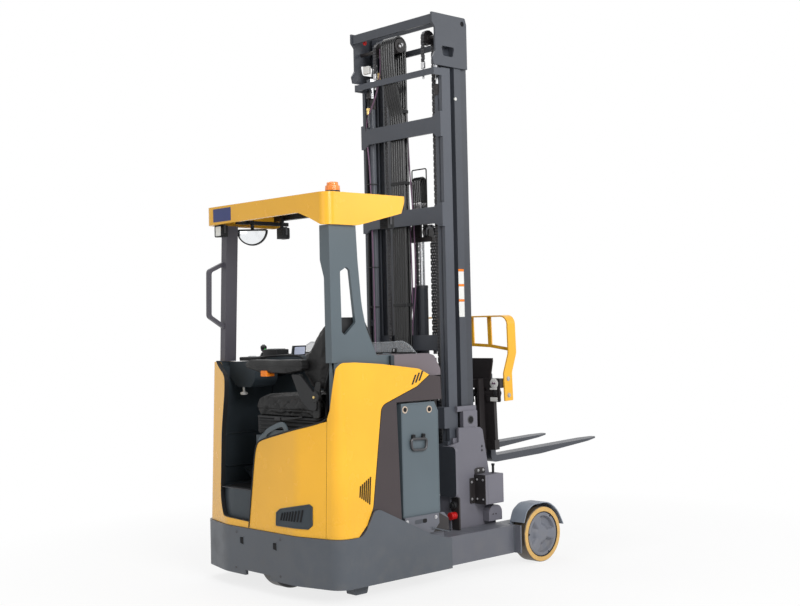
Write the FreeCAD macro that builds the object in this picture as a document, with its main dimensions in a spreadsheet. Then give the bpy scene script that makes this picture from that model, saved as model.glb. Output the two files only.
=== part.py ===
"""Seated reach truck with a triplex mast, as a parametric FreeCAD document.

Frame: X forward to the fork tips, Y to the truck's left, Z up, millimetres.
The origin is on the floor, under the middle of the truck's bounding box.
"""
import FreeCAD, Part
import math
import os

import Sketcher

NAME = "Dims"
doc = FreeCAD.newDocument("ReachTruck")
sheet = doc.addObject("Spreadsheet::Sheet", NAME)

# ---------------------------------------------------------------- driving dimensions
DIMENSIONS = {
    "rear_x": -1390,        # rear face of the chassis skirt
    "half_width": 635,      # half the overall width
    "drive_x": -1180,       # steered drive wheel
    "battery_x": -819,      # rear face of the battery
    "battery_length": 293,
    "battery_half": 605,
    "battery_z": 306,       # underside of the battery
    "battery_top": 1055,
    "mast_x": -203,         # rear face of the outer mast rails
    "axle_x": 340,          # load wheel axle
    "wheel_radius": 172,
    "load_wheel_width": 104,
    "drive_wheel_width": 100,
    "skirt_bottom": 80,
    "skirt_top": 350,
    "skirt_wall": 20,
    "leg_top": 250,
    "leg_outer": 585,       # outer face of the straddle leg's box
    "leg_inner": 425,       # inner edge of the leg's roller track
    "leg_end_x": 470,       # front end of the roller track
    "panel": 25,            # thickness of the body panels and walls
    "floor_z": 560,         # floor of the operator's place
    "deck_z": 885,          # deck that carries the seat
    "roof_top": 2240,
    "roof_half": 578,
    "roof_rear_x": -1325,
    "roof_front_x": -725,
    "rail_bottom": 200,
    "outer_top": 3090,
    "mast_top": 3420,
    "inner_top": 3300,
    "pin_x": 140,           # pin that the fork frame tilts on
    "pin_z": 700,
    "fork_tilt": 2,         # degrees that the forks point up at rest
    "fork_length": 1077.5,
    "fork_width": 100,
    "fork_y": 228,          # middle of a fork from the truck's middle
}
for row, (alias, number) in enumerate(DIMENSIONS.items(), start=1):
    sheet.set(f"A{row}", alias)
    sheet.set(f"B{row}", str(number))
    sheet.setAlias(f"B{row}", alias)
doc.recompute()


class Size:
    """A number with the spreadsheet formula that gives it."""

    def __init__(self, number, formula=None):
        self.number = float(number)
        self.formula = formula if formula else f"{self.number:g}"
        self.bound = formula is not None

    def _join(self, other, sign, number, swap=False):
        other = size(other)
        left, right = (other, self) if swap else (self, other)
        joined = Size(number, f"({left.formula} {sign} {right.formula})")
        joined.bound = self.bound or other.bound
        return joined

    def __add__(self, other):
        return self._join(other, "+", self.number + size(other).number)

    def __radd__(self, other):
        return self._join(other, "+", size(other).number + self.number, True)

    def __sub__(self, other):
        return self._join(other, "-", self.number - size(other).number)

    def __rsub__(self, other):
        return self._join(other, "-", size(other).number - self.number, True)

    def __mul__(self, other):
        return self._join(other, "*", self.number * size(other).number)

    def __rmul__(self, other):
        return self._join(other, "*", size(other).number * self.number, True)

    def __truediv__(self, other):
        return self._join(other, "/", self.number / size(other).number)

    def __neg__(self):
        return 0 - self

    def __float__(self):
        return self.number


def size(value):
    """The value as a Size, whether it is one already or a plain number."""
    return value if isinstance(value, Size) else Size(value)


class Dimensions:
    """Each driving dimension as an attribute."""


D = Dimensions()
for alias, number in DIMENSIONS.items():
    setattr(D, alias, Size(number, f"{NAME}.{alias}"))


# ---------------------------------------------------------------- drawing helpers
def bind(item, prop, value):
    """Give a property its size, with the spreadsheet formula where there is one."""
    value = size(value)
    if value.bound:
        item.setExpression(prop, value.formula)
    else:
        item.setExpression(prop, f"{value.number:g}")


def place(item, x=0, y=0, z=0):
    """Bind the position of an object."""
    for letter, value in zip("xyz", (x, y, z)):
        if size(value).bound or float(value):
            bind(item, f"Placement.Base.{letter}", value)


def block(x, y, z, name="Block"):
    """A box between pairs of X, Y and Z values."""
    item = doc.addObject("Part::Box", name)
    for prop, (low, high) in zip(("Length", "Width", "Height"), (x, y, z)):
        bind(item, prop, size(high) - low)
    place(item, x[0], y[0], z[0])
    return item


TURNS = {
    "X": FreeCAD.Rotation(FreeCAD.Vector(0, 1, 0), 90),
    "Y": FreeCAD.Rotation(FreeCAD.Vector(1, 0, 0), -90),
    "Z": FreeCAD.Rotation(),
}


def rod(axis, start, radius, length, name="Rod"):
    """A cylinder from a start point along +X, +Y or +Z."""
    item = doc.addObject("Part::Cylinder", name)
    item.Placement = FreeCAD.Placement(FreeCAD.Vector(), TURNS[axis])
    bind(item, "Radius", radius)
    bind(item, "Height", length)
    place(item, *start)
    return item


# Sketch planes: rotation of the sketch, and the direction that it is extruded in.
PLANES = {
    "XY": (FreeCAD.Rotation(), FreeCAD.Vector(0, 0, 1)),
    "XZ": (FreeCAD.Rotation(FreeCAD.Vector(1, 0, 0), 90), FreeCAD.Vector(0, 1, 0)),
    "YZ": (FreeCAD.Rotation(FreeCAD.Vector(1, 1, 1), 120), FreeCAD.Vector(1, 0, 0)),
}


def corner_arc(before, corner, after, radius):
    """The arc that rounds a corner, its two tangent points and whether it turns left."""
    inward = (corner - before).normalize()
    outward = (after - corner).normalize()
    cross = inward.x * outward.y - inward.y * outward.x
    turn = math.atan2(cross, inward.dot(outward))
    reach = radius * math.tan(abs(turn) / 2)
    first = corner - inward * reach
    last = corner + outward * reach
    side = 1 if turn > 0 else -1
    centre = first + FreeCAD.Vector(-inward.y, inward.x, 0) * radius * side
    start, end = (first, last) if side > 0 else (last, first)
    angles = [math.atan2(point.y - centre.y, point.x - centre.x) for point in (start, end)]
    if angles[1] < angles[0]:
        angles[1] += 2 * math.pi
    circle = Part.Circle(centre, FreeCAD.Vector(0, 0, 1), radius)
    return Part.ArcOfCircle(circle, *angles), first, last, side > 0


def draw_outline(sketch, outline):
    """Draw a closed outline of straight sides, and bind each corner to its sizes.

    A corner is (u, v), or (u, v, radius) where it is rounded.
    """
    corners = [FreeCAD.Vector(float(point[0]), float(point[1]), 0) for point in outline]
    radii = [point[2] if len(point) > 2 else 0 for point in outline]
    count = len(outline)
    ends = []
    arcs = {}
    for i in range(count):
        if float(radii[i]):
            arcs[i] = corner_arc(corners[i - 1], corners[i], corners[(i + 1) % count],
                                 float(radii[i]))
            ends.append((arcs[i][1], arcs[i][2]))
        else:
            ends.append((corners[i], corners[i]))
    sides = [sketch.addGeometry(Part.LineSegment(ends[i][1], ends[(i + 1) % count][0]), False)
             for i in range(count)]
    rules = []
    bound = []
    for i, point in enumerate(outline):
        before, after = sides[i - 1], sides[i]
        if i in arcs:
            arc = sketch.addGeometry(arcs[i][0], False)
            mark = sketch.addGeometry(Part.Point(corners[i]), True)
            enter, leave = (1, 2) if arcs[i][3] else (2, 1)
            rules.append(Sketcher.Constraint("Tangent", before, 2, arc, enter))
            rules.append(Sketcher.Constraint("Tangent", arc, leave, after, 1))
            rules.append(Sketcher.Constraint("PointOnObject", mark, 1, before))
            rules.append(Sketcher.Constraint("PointOnObject", mark, 1, after))
            bound.append((len(rules), radii[i]))
            rules.append(Sketcher.Constraint("Radius", arc, float(radii[i])))
            spot = mark
        else:
            rules.append(Sketcher.Constraint("Coincident", before, 2, after, 1))
            spot = after
        for kind, value in zip(("DistanceX", "DistanceY"), point):
            bound.append((len(rules), value))
            rules.append(Sketcher.Constraint(kind, -1, 1, spot, 1, float(value)))
    first_rule = len(sketch.Constraints)
    sketch.addConstraint(rules)
    for index, value in bound:
        if size(value).bound:
            sketch.setExpression(f"Constraints[{first_rule + index}]", size(value).formula)


def draw_circle(sketch, u, v, radius):
    """Draw a circle and bind its centre and radius."""
    circle = Part.Circle(FreeCAD.Vector(float(u), float(v), 0), FreeCAD.Vector(0, 0, 1),
                         float(radius))
    ring = sketch.addGeometry(circle, False)
    first_rule = len(sketch.Constraints)
    sketch.addConstraint([
        Sketcher.Constraint("Radius", ring, float(radius)),
        Sketcher.Constraint("DistanceX", -1, 1, ring, 3, float(u)),
        Sketcher.Constraint("DistanceY", -1, 1, ring, 3, float(v)),
    ])
    for index, value in enumerate((radius, u, v)):
        if size(value).bound:
            sketch.setExpression(f"Constraints[{first_rule + index}]", size(value).formula)


def draw(sketch, outlines):
    """Draw outlines, each a list of corners or a circle (u, v, radius)."""
    for outline in outlines:
        if isinstance(outline, tuple):
            draw_circle(sketch, *outline)
        else:
            draw_outline(sketch, outline)


def prism(plane, outlines, low, high, name="Prism"):
    """Closed outlines in a plane, extruded from low to high; inner outlines are holes."""
    turn, direction = PLANES[plane]
    sketch = doc.addObject("Sketcher::SketchObject", name + "Sketch")
    sketch.Placement = FreeCAD.Placement(FreeCAD.Vector(), turn)
    draw(sketch, outlines)
    offset = dict(zip("xyz", (0, 0, 0)))
    offset["xyz"[list(direction).index(1)]] = low
    place(sketch, **offset)
    item = doc.addObject("Part::Extrusion", name)
    item.Base = sketch
    item.DirMode = "Custom"
    item.Dir = direction
    item.Solid = True
    bind(item, "LengthFwd", size(high) - low)
    return item


def union(items, name="Union"):
    """Pieces fused into one solid."""
    item = doc.addObject("Part::MultiFuse", name)
    item.Shapes = items
    return item


def cut(base, tools, name="Cut"):
    """A piece with others cut out of it."""
    tool = tools[0] if len(tools) == 1 else union(tools, name + "Tools")
    item = doc.addObject("Part::Cut", name)
    item.Base = base
    item.Tool = tool
    return item


def common(items, name="Common"):
    """What several pieces have in common."""
    item = doc.addObject("Part::MultiCommon", name)
    item.Shapes = items
    return item


def mirror(item, name="Mirror"):
    """The same piece on the other side of the truck."""
    copy = doc.addObject("Part::Mirroring", name)
    copy.Source = item
    copy.Normal = FreeCAD.Vector(0, 1, 0)
    return copy


def both(item, name="Both"):
    """A piece and its mirror image, apart."""
    return together([item, mirror(item)], name)


def together(items, name="Together"):
    """Pieces that share a node and don't touch."""
    group = doc.addObject("Part::Compound", name)
    group.Links = items
    return group


def pad_body(plane, outlines, low, high, name="Body"):
    """A PartDesign body with one pad of closed outlines between two levels."""
    body = doc.addObject("PartDesign::Body", name)
    roles = {"XY": "XY_Plane", "XZ": "XZ_Plane", "YZ": "YZ_Plane"}
    support = [feature for feature in body.Origin.OriginFeatures
               if feature.Role == roles[plane]][0]
    sketch = body.newObject("Sketcher::SketchObject", name + "Sketch")
    sketch.AttachmentSupport = [(support, "")]
    sketch.MapMode = "FlatFace"
    # The XZ plane faces -Y, so its offset and its pad both turn round.
    if plane == "XZ":
        bind(sketch, "AttachmentOffset.Base.z", -size(high))
    else:
        bind(sketch, "AttachmentOffset.Base.z", low)
    draw(sketch, outlines)
    pad = body.newObject("PartDesign::Pad", name + "Pad")
    pad.Profile = sketch
    bind(pad, "Length", size(high) - low)
    return body


def turned_body(outline, x, y, z, name="Turned"):
    """A PartDesign body of an outline of (radius, y) corners turned about a Y axis."""
    body = doc.addObject("PartDesign::Body", name)
    support = [feature for feature in body.Origin.OriginFeatures
               if feature.Role == "XY_Plane"][0]
    sketch = body.newObject("Sketcher::SketchObject", name + "Sketch")
    sketch.AttachmentSupport = [(support, "")]
    sketch.MapMode = "FlatFace"
    draw(sketch, [outline])
    turn = body.newObject("PartDesign::Revolution", name + "Revolution")
    turn.Profile = sketch
    turn.ReferenceAxis = (sketch, ["V_Axis"])
    turn.Angle = 360
    place(body, x, y, z)
    return body


NODES = {}


def node(label, item):
    """Name a finished sub-part; the name is its file's name too."""
    item.Label = label
    NODES[label] = item
    return item


# ---------------------------------------------------------------- chassis
def from_rear(distance):
    """An X place, counted forward from the rear face of the skirt."""
    return D.rear_x + distance


def from_mast(distance):
    """An X place, counted forward from the rear face of the outer mast rails."""
    return D.mast_x + distance


def plan(inset, front):
    """Plan of the rounded rear end, this far inside the skirt's outer face."""
    side = D.half_width - inset
    rear = D.rear_x + inset
    round_side, round_rear = 100 - inset, 300 - inset
    return [(front, -side), (rear + 75, -side, round_side), (rear, -330, round_rear),
            (rear, 330, round_rear), (rear + 75, side, round_side), (front, side)]


def make_chassis_skirt():
    """Hollow steel skirt round the drive unit, with raised side plates."""
    shell = prism("XY", [plan(0, from_rear(565))], D.skirt_bottom, D.skirt_top, "SkirtOuter")
    hollow = prism("XY", [plan(D.skirt_wall.number, from_rear(545))], D.skirt_bottom - 1,
                   D.skirt_top - D.skirt_wall, "SkirtHollow")
    turntable = rod("Z", (D.drive_x, 0, D.skirt_bottom), 158, 400, "TurntableHole")
    notch = block((D.rear_x - 1, from_rear(60)), (-100, 137),
                  (D.skirt_bottom - 1, D.skirt_bottom + 28), "RearNotch")
    outline = [(from_rear(172), D.skirt_bottom), (from_rear(172), D.skirt_top),
               (from_rear(225), 352, 60), (from_rear(262), 385), (from_rear(322), 484, 30),
               (from_rear(365), 484, 60), (from_rear(757), 299), (from_rear(920), 255),
               (from_rear(920), D.skirt_bottom)]
    plate = prism("XZ", [outline], -D.half_width, 8 - D.half_width, "SidePlate")
    beam = prism("XZ", [[(from_rear(550), D.skirt_bottom), (from_rear(550), 300),
                         (from_rear(740), 300), (from_rear(920), 255),
                         (from_rear(920), D.skirt_bottom)]],
                 -D.half_width, 35 - D.half_width, "SideBeam")
    shell = cut(shell, [hollow, turntable, notch], "SkirtShell")
    parts = [plate, beam] + anti_tip_block()
    return node("chassis_skirt", union([shell] + parts + [mirror(part) for part in parts],
                                       "ChassisSkirt"))


def anti_tip_block():
    """Wedge under the right rear corner, just off the floor, and the flange that holds it."""
    low = D.skirt_bottom + 5
    outline = [(from_rear(225), low), (from_rear(240), 20, 10), (from_rear(330), 20, 10),
               (from_rear(350), low)]
    wedge = prism("XZ", [outline], -548, -480, "Wedge")
    flange = block((from_rear(215), from_rear(360)), (-622, -465), (low, low + 12), "WedgeFlange")
    return [wedge, flange]


def make_straddle_legs():
    """Two legs with roller tracks and wheel axles, tied by the battery's tray."""
    outer, inner, wall = 519, D.leg_inner, 15
    low, high = D.skirt_bottom, D.leg_top
    track = prism("YZ", [[(-outer, low), (-inner, low), (-inner, low + wall),
                          (wall - outer, low + wall), (wall - outer, high - wall),
                          (-inner, high - wall), (-inner, high), (-outer, high)]],
                  from_rear(566), D.leg_end_x, "Track")
    nose = block((D.leg_end_x - 6, D.leg_end_x), (-outer, -inner), (low, high), "Nose")
    box = block((from_rear(880), D.axle_x - 200), (-D.leg_outer, -outer), (low, high), "LegBox")
    end = block((D.axle_x - 212, D.axle_x - 200), (-D.half_width, -outer), (low, high), "EndPlate")
    axle = rod("Y", (D.axle_x, -D.half_width + 12, D.wheel_radius), 22,
               D.half_width - 12 - outer + 5, "WheelAxle")
    slot = [(from_rear(650), 325, 12), (from_rear(735), 325, 12), (from_rear(735), 352, 12),
            (from_rear(650), 352, 12)]
    outline = [(from_rear(568), 303), (from_rear(568), 410), (from_rear(880), 410, 20),
               (from_rear(918), 370), (from_rear(918), 303)]
    retainer = prism("XZ", [outline, slot], -612, -602, "Retainer")
    leg = [track, nose, box, end, axle, retainer]
    floor = block((from_rear(566), from_rear(890)), (-598, 598), (high - 1, D.battery_z - 3),
                  "TrayFloor")
    plate = block((from_rear(566), from_rear(890)), (-612, 612), (300.5, D.battery_z),
                  "TrayPlate")
    beam = block((from_rear(840), from_rear(890)), (-430, 430), (120, high), "CrossBeam")
    return node("straddle_legs", union(leg + [mirror(part) for part in leg] + [floor, plate, beam],
                                       "StraddleLegs"))


def make_battery():
    """The traction battery, one closed steel case."""
    low, high = D.battery_z, D.battery_top
    rear, front = D.battery_x, D.battery_x + D.battery_length
    outline = [(rear, low), (front, low), (front, high - 55), (front - 30, high), (rear, high)]
    return node("battery", pad_body("XZ", [outline], 7 - D.battery_half, D.battery_half - 7,
                                    "Battery"))


def make_mudguards():
    """Bent sheets over the load wheels, with a web against the leg."""
    top, thick = 371, 6
    outer = [(-178, 262), (-150, 330, 60), (-85, top, 100), (60, top, 150), (150, 310, 200),
             (205, 212)]
    points = [(D.axle_x + point[0], *point[1:]) for point in outer]
    inside = [(D.axle_x + 199, 210), (D.axle_x + 145, 306, 194), (D.axle_x + 58, top - thick, 144),
              (D.axle_x - 83, top - thick, 94), (D.axle_x - 145, 327, 54), (D.axle_x - 172, 262)]
    sheet_part = prism("XZ", [points + inside], -D.half_width, -519, "GuardSheet")
    web = prism("XZ", [points[:-1] + [(D.axle_x + 195, D.leg_top - 30), (D.axle_x - 176, D.leg_top - 30)]],
                -525, -519, "GuardWeb")
    return node("mudguards", both(union([sheet_part, web], "Guard"), "Mudguards"))


# ---------------------------------------------------------------- wheels and drive
def make_load_wheel(side, sign):
    """One load wheel: a polyurethane ring and a domed hub on its axle."""
    half = D.load_wheel_width / 2
    y = sign * (D.half_width - half)
    radius = D.wheel_radius
    ring = turned_body([(radius - 31, -half), (radius - 5, -half), (radius, 5 - half),
                        (radius, half - 5), (radius - 5, half), (radius - 31, half)],
                       D.axle_x, y, radius, "LoadTyre")
    node(f"load_tyre_{side}", ring)
    hub = turned_body([(22.05, -half + 6), (60, 8 - half), (100, 14 - half), (radius - 31.3, 3 - half),
                       (radius - 31.3, half - 3), (100, half - 14), (60, half - 8),
                       (22.05, half - 6)],
                      D.axle_x, y, radius, "LoadHub")
    node(f"load_hub_{side}", hub)


def make_drive_unit():
    """Turntable, gearbox and upright motor that turn together, over the drive wheel."""
    def column(radius, low, high, name):
        return rod("Z", (D.drive_x, 0, low), radius, high - low, name)
    table = column(150, 328, 347, "Turntable")
    motor = union([column(85, 340, 410, "MotorFlange"), column(80, 405, 712, "Motor")], "MotorBody")
    opening = block((D.drive_x - 80, D.drive_x + 80), (-56, 56), (300, 350), "WheelOpening")
    top = cut(union([table, motor], "DriveTop"), [opening], "DriveHead")
    gearbox = block((D.drive_x - 60, D.drive_x + 60), (62, 135), (100, 335), "Gearbox")
    flange = rod("Y", (D.drive_x, D.drive_wheel_width / 2 + 1, D.wheel_radius), 40, 20, "WheelFlange")
    node("drive_unit", union([top, gearbox, flange], "DriveUnit"))
    half = D.drive_wheel_width / 2
    radius = D.wheel_radius
    tyre = turned_body([(0, -half), (radius - 6, -half), (radius, 6 - half), (radius, half - 6),
                        (radius - 6, half), (0, half)], D.drive_x, 0, radius, "DriveTyre")
    node("drive_tyre", tyre)


# ---------------------------------------------------------------- body panels
TAPER = -2      # degrees that the body leans inwards


def body_shell():
    """The whole wall of the body, open at the front, leaning in by the taper."""
    low, high = D.skirt_top + 2, 1310
    outer = prism("XY", [plan(10, from_rear(1000))], low, high, "BodyOuter")
    inner = prism("XY", [plan(10 + D.panel.number, from_rear(1100))], low - 0.01, high,
                  "BodyInner")
    for item in (outer, inner):
        item.TaperAngle = TAPER
    return cut(outer, [inner], "BodyShell")


def body_room(name="BodyRoom"):
    """The room inside the body's wall, half a millimetre clear of it."""
    room = prism("XY", [plan(10.5 + D.panel.number, from_rear(1100))], D.skirt_top + 2, 1310, name)
    room.TaperAngle = TAPER
    return room


def flank_outline():
    """Side view of the yellow flank, from the rear corner to the nose."""
    return [(from_rear(-70), D.skirt_top + 2), (from_rear(212), D.skirt_top + 2),
            (from_rear(275), 410, 30), (from_rear(324), 499, 80), (from_rear(418), 1055, 60),
            (from_rear(700), 1150), (from_rear(802), 1212), (from_rear(720), 1250, 80),
            (from_rear(420), 1288, 300), (from_rear(230), 1303, 300), (from_rear(-70), 1303)]


def vent(side):
    """Six slanting slots behind a flank's front edge and the pocket that thins the wall there."""
    low, high = sorted((side * 500, side * 660))
    cuts = [prism("YZ", [[(side * 616.3, 500), (side * 609.8, 686), (side * 590, 686),
                          (side * 590, 500)]], from_rear(221), from_rear(322), "VentPocket")]
    for k in range(6):
        foot, top = from_rear(231 + 13.6 * k), from_rear(239 + 15 * k)
        cuts.append(prism("XZ", [[(foot - 4.5, 565 - 9 * k), (foot + 4.5, 565 - 9 * k),
                                  (top + 4.5, 628 + 8.4 * k), (top - 4.5, 628 + 8.4 * k)]],
                          low, high, "VentSlot"))
    return cuts


def make_panels():
    """Rear panel, two yellow flanks and the two dark covers in front of them."""
    low = D.skirt_top + 2
    rear_shape = prism("YZ", [[(-525, low), (108, low), (50, 848, 90), (-525, 985)]],
                       D.rear_x - 10, from_rear(140), "RearPanelView")
    node("rear_panel", common([body_shell(), rear_shape], "RearPanel"))

    right_side = prism("XZ", [flank_outline()], -650, -528, "FlankRightView")
    right_rear = prism("YZ", [[(-528, low), (-650, low), (-650, 1310), (-596, 1310),
                               (-574, 1272, 25), (-545, 1050, 60), (-528, 1000)]],
                       from_rear(-80), from_rear(900), "FlankRightRear")
    node("flank_right", cut(common([body_shell(), right_side, right_rear], "FlankRightBlank"),
                            vent(-1), "FlankRight"))

    left_side = prism("XZ", [flank_outline()], 100, 650, "FlankLeftView")
    left_rear = prism("YZ", [[(112, low), (110, 388), (385, 396, 25), (429, 500, 60),
                              (423, 900, 200), (386, 1120, 60), (386, 1225, 50), (478, 1268, 40),
                              (530, 1310), (650, 1310), (650, low)]],
                      from_rear(-80), from_rear(900), "FlankLeftRear")
    node("flank_left", cut(common([body_shell(), left_side, left_rear], "FlankLeftBlank"),
                           vent(1), "FlankLeft"))

    outline = [(from_rear(216), low), (from_rear(279), 408, 30), (from_rear(328), 497, 80),
               (from_rear(422), 1052, 55), (from_rear(702), 1147), (from_rear(806), 1210),
               (from_rear(850), 1205), (from_rear(893), 1196), (from_rear(893), 1066),
               (from_rear(534), 1066), (from_rear(534), low)]
    cover = common([body_shell(), prism("XZ", [outline], -650, -528, "CoverView")], "Cover")
    node("battery_covers", both(cover, "BatteryCovers"))


def make_cab():
    """Floor with its pedals and the seat's deck, and the bulkhead in front."""
    riser = cut(block((from_rear(20), from_rear(80)), (112, 500), (D.skirt_top + 2, D.floor_z),
                      "RiserBlank"),
                [prism("XY", [plan(24.5 + D.panel.number, from_rear(1100))], D.skirt_top,
                       D.floor_z - 15, "RiserRoom")], "Riser")
    floor = block((from_rear(76), from_rear(530)), (100, 442), (D.floor_z - 15, D.floor_z), "Floor")
    step = block((from_rear(20), from_rear(80)), (112, 500), (D.floor_z - 15, D.floor_z), "Step")
    side = block((from_rear(75), from_rear(530)), (440, 586), (D.floor_z - 15, D.floor_z),
                 "FloorSide")
    outer = block((from_rear(72), from_rear(532)), (-556, 104), (D.skirt_top + 2, D.deck_z),
                  "DeckOuter")
    inner = block((from_rear(84), from_rear(520)), (-544, 92), (D.skirt_top, D.deck_z - 15),
                  "DeckInner")
    deck = cut(outer, [inner], "SeatDeck")
    pedals = []
    for low in (250, 420):
        outline = [(low - 10, D.floor_z - 2), (low + 20, D.floor_z - 2), (low + 130, 640),
                   (low + 122, 652), (low - 10, D.floor_z + 14)]
        pedals.append(prism("YZ", [outline], from_rear(300), from_rear(390), "Pedal"))
    fitted = common([union([floor, side, deck, riser, step], "Decks"), body_room("FloorRoom")],
                    "FittedDecks")
    node("cab_floor", union([fitted] + pedals, "CabFloor"))

    wall = block((from_rear(536), from_rear(560)), (-560, 560), (D.skirt_top + 2, 1330), "Wall")
    lining = block((from_rear(441), from_rear(540)), (-538, -518), (1215, 1330), "SideLining")
    node("bulkhead", union([wall, lining], "Bulkhead"))


def make_seat():
    """Seat facing the truck's left: suspension base, cushion, back and armrest."""
    back_foot, back_rest = (-445, 1145), (-500, 1300)
    base = [(130, D.deck_z), (137, 985), (-405, 985), (-430, 1010), back_foot, back_rest,
            (-514, 1300), (-466, 1140), (-440, 950), (-425, D.deck_z)]
    frame = pad_body("YZ", [base], from_rear(150), from_rear(460), "SeatFrame")
    box = block((from_rear(106), from_rear(506)), (-398, 128), (898, 985), "SuspensionBox")
    node("seat_base", union([frame, box], "SeatBase"))
    cushion = [(112, 987), (155, 1045, 25), (128, 1098, 40), (60, 1116), (-380, 1138, 20),
               (-403, 987)]
    node("seat_cushion", pad_body("YZ", [cushion], from_rear(95), from_rear(515), "SeatCushion"))
    back = [(-330, 1160, 20), (-262, 1240, 30), (-272, 1344), (-386, 1485), (-458, 1562, 20),
            (-515, 1535, 20), back_rest, back_foot]
    back_view = prism("XZ", [[(from_rear(130), 1100), (from_rear(480), 1100), (from_rear(472), 1290),
                              (from_rear(430), 1420, 80), (from_rear(352), 1600, 60),
                              (from_rear(165), 1600), (from_rear(132), 1440, 80)]],
                      -530, -240, "SeatBackView")
    padded = pad_body("YZ", [back], from_rear(130), from_rear(480), "SeatPadding")
    node("seat_back", common([padded, back_view], "SeatBack"))
    rest = [(205, 1297, 15), (150, 1322, 40), (-330, 1325, 20), (-345, 1262, 20), (-180, 1238),
            (60, 1242), (185, 1270, 20)]
    node("armrest", pad_body("YZ", [rest], from_rear(62), from_rear(128), "Armrest"))


def make_controls():
    """Steering console on the left lining, and the console for the right hand."""
    lining = prism("YZ", [[(588, D.floor_z), (563, 1275), (545, 1275), (570, D.floor_z)]],
                   from_rear(60), from_rear(534), "LeftLining")
    lining = common([lining, body_room("LiningRoom")], "FittedLining")
    outline = [(290, 1296), (290, 1190, 40), (330, 1148, 40), (470, 1148, 60), (552, 1215),
               (548, 1296)]
    column = prism("YZ", [outline], from_rear(205), from_rear(375), "Column")
    node("left_console", union([lining, column], "LeftConsole"))
    console = [(545, 1190), (545, 1318), (300, 1332), (85, 1332, 20), (60, 1290, 20), (85, 1235),
               (300, 1222)]
    body = prism("YZ", [console], from_rear(400), from_rear(534), "ConsoleBody")
    stick = rod("Z", (from_rear(442), 513, 1318), 8, 50, "Stick")
    knob = rod("Z", (from_rear(442), 513, 1360), 17, 28, "Knob")
    pad = block((from_rear(408), from_rear(500)), (335, 475), (1320, 1368), "KeyPad")
    screen = prism("YZ", [[(175, 1330), (195, 1330), (180, 1392), (165, 1392)]],
                   from_rear(408), from_rear(500), "Screen")
    node("hand_console", union([body, stick, knob, pad, screen], "HandConsole"))
    rim = rod("Z", (from_rear(290), 425, 1306), 78, 22, "SteeringRim")
    hub = rod("Z", (from_rear(290), 425, 1297), 25, 12, "SteeringHub")
    node("steering_wheel", union([rim, hub], "SteeringWheel"))


# ---------------------------------------------------------------- overhead guard
def make_pillars():
    """The plain left pillar with the entry handle, and the wide right pillar with a window."""
    left = [(595, 1304), (545, 1304), (497, 2131), (552, 2131)]
    post = prism("YZ", [left], from_rear(170), from_rear(253), "LeftPost")
    outline = [(from_rear(176), 1915), (from_rear(58), 1862, 30), (from_rear(52), 1574, 30),
               (from_rear(176), 1498), (from_rear(176), 1525), (from_rear(76), 1586, 20),
               (from_rear(82), 1848, 20), (from_rear(176), 1889)]
    handle = prism("XZ", [outline], 540, 564, "EntryHandle")
    node("pillar_left", union([post, handle], "PillarLeft"))
    window = [(from_rear(172), 1804, 8), (from_rear(218), 1829, 8), (from_rear(241), 1813, 8),
              (from_rear(274), 1521, 12), (from_rear(194), 1452, 12), (from_rear(173), 1471, 8)]
    side = [(from_rear(95), 1000), (from_rear(100), 2060), (from_rear(294), 2060),
            (from_rear(302), 1863, 600), (from_rear(322), 1618, 600), (from_rear(351), 1488, 300),
            (from_rear(439), 1306), (from_rear(439), 1180), (from_rear(380), 1000)]
    face = prism("YZ", [[(-565, 1000), (-565, 1305), (-556, 2060), (-475, 2060), (-475, 1870, 60),
                         (-508, 1770, 60), (-515, 1000)]],
                 from_rear(60), from_rear(460), "PillarFace")
    blank = common([prism("XZ", [side, window], -600, -450, "PillarSide"), face], "PillarBlank")
    hollow = block((from_rear(125), from_rear(500)), (-541, -400), (990, 2100), "PillarHollow")
    around = cut(block((from_rear(0), from_rear(500)), (-700, -400), (980, 1304), "FlankBlock"),
                 [body_room("PillarRoom")], "AroundRoom")
    node("pillar_right", cut(blank, [hollow, around], "PillarRight"))


def make_roof():
    """Overhead guard: a deep yellow rim with a flange, and steel bars across it."""
    def rim_plan(inset, round_rear, round_front):
        half, rear, front = D.roof_half - inset, D.roof_rear_x + inset, D.roof_front_x - inset
        return [(rear, -half, round_rear), (front, -half, round_front),
                (front, half, round_front), (rear, half, round_rear)]
    top = D.roof_top
    outer = prism("XY", [rim_plan(0, 60, 25)], top - 200, top, "RoofOuter")
    inner = prism("XY", [rim_plan(22, 38, 10)], top - 210, top - 12, "RoofInner")
    opening = prism("XY", [rim_plan(95, 20, 20)], top - 20, top + 10, "RoofOpening")
    side = prism("XZ", [[(D.roof_rear_x - 10, 2060), (from_rear(295), 2060, 200),
                         (D.roof_front_x - 40, 2141), (D.roof_front_x, top),
                         (D.roof_rear_x - 10, top)]], -600, 600, "RoofSideView")
    face = prism("YZ", [[(-600, 2050), (-535, 2058, 40), (-430, 2104, 40), (-330, 2141, 120),
                         (600, 2131), (600, top + 1), (-600, top + 1)]],
                 D.roof_rear_x - 20, D.roof_front_x + 20, "RoofRearView")
    node("roof_rim", common([cut(outer, [inner, opening], "RoofShell"), side, face], "RoofRim"))
    bars = []
    for index in range(7):
        y = -420 + 140 * index
        bars.append(block((D.roof_rear_x + 23, D.roof_front_x - 23), (y - 18, y + 18),
                          (top - 30, top - 12.5), "RoofBar"))
    beams = [block((x - 20, x + 20), (-555, 555), (top - 60, top - 30), "RoofBeam")
             for x in (D.roof_rear_x + 90, D.roof_front_x - 70)]
    node("roof_bars", union(bars + beams, "RoofBars"))


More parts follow.
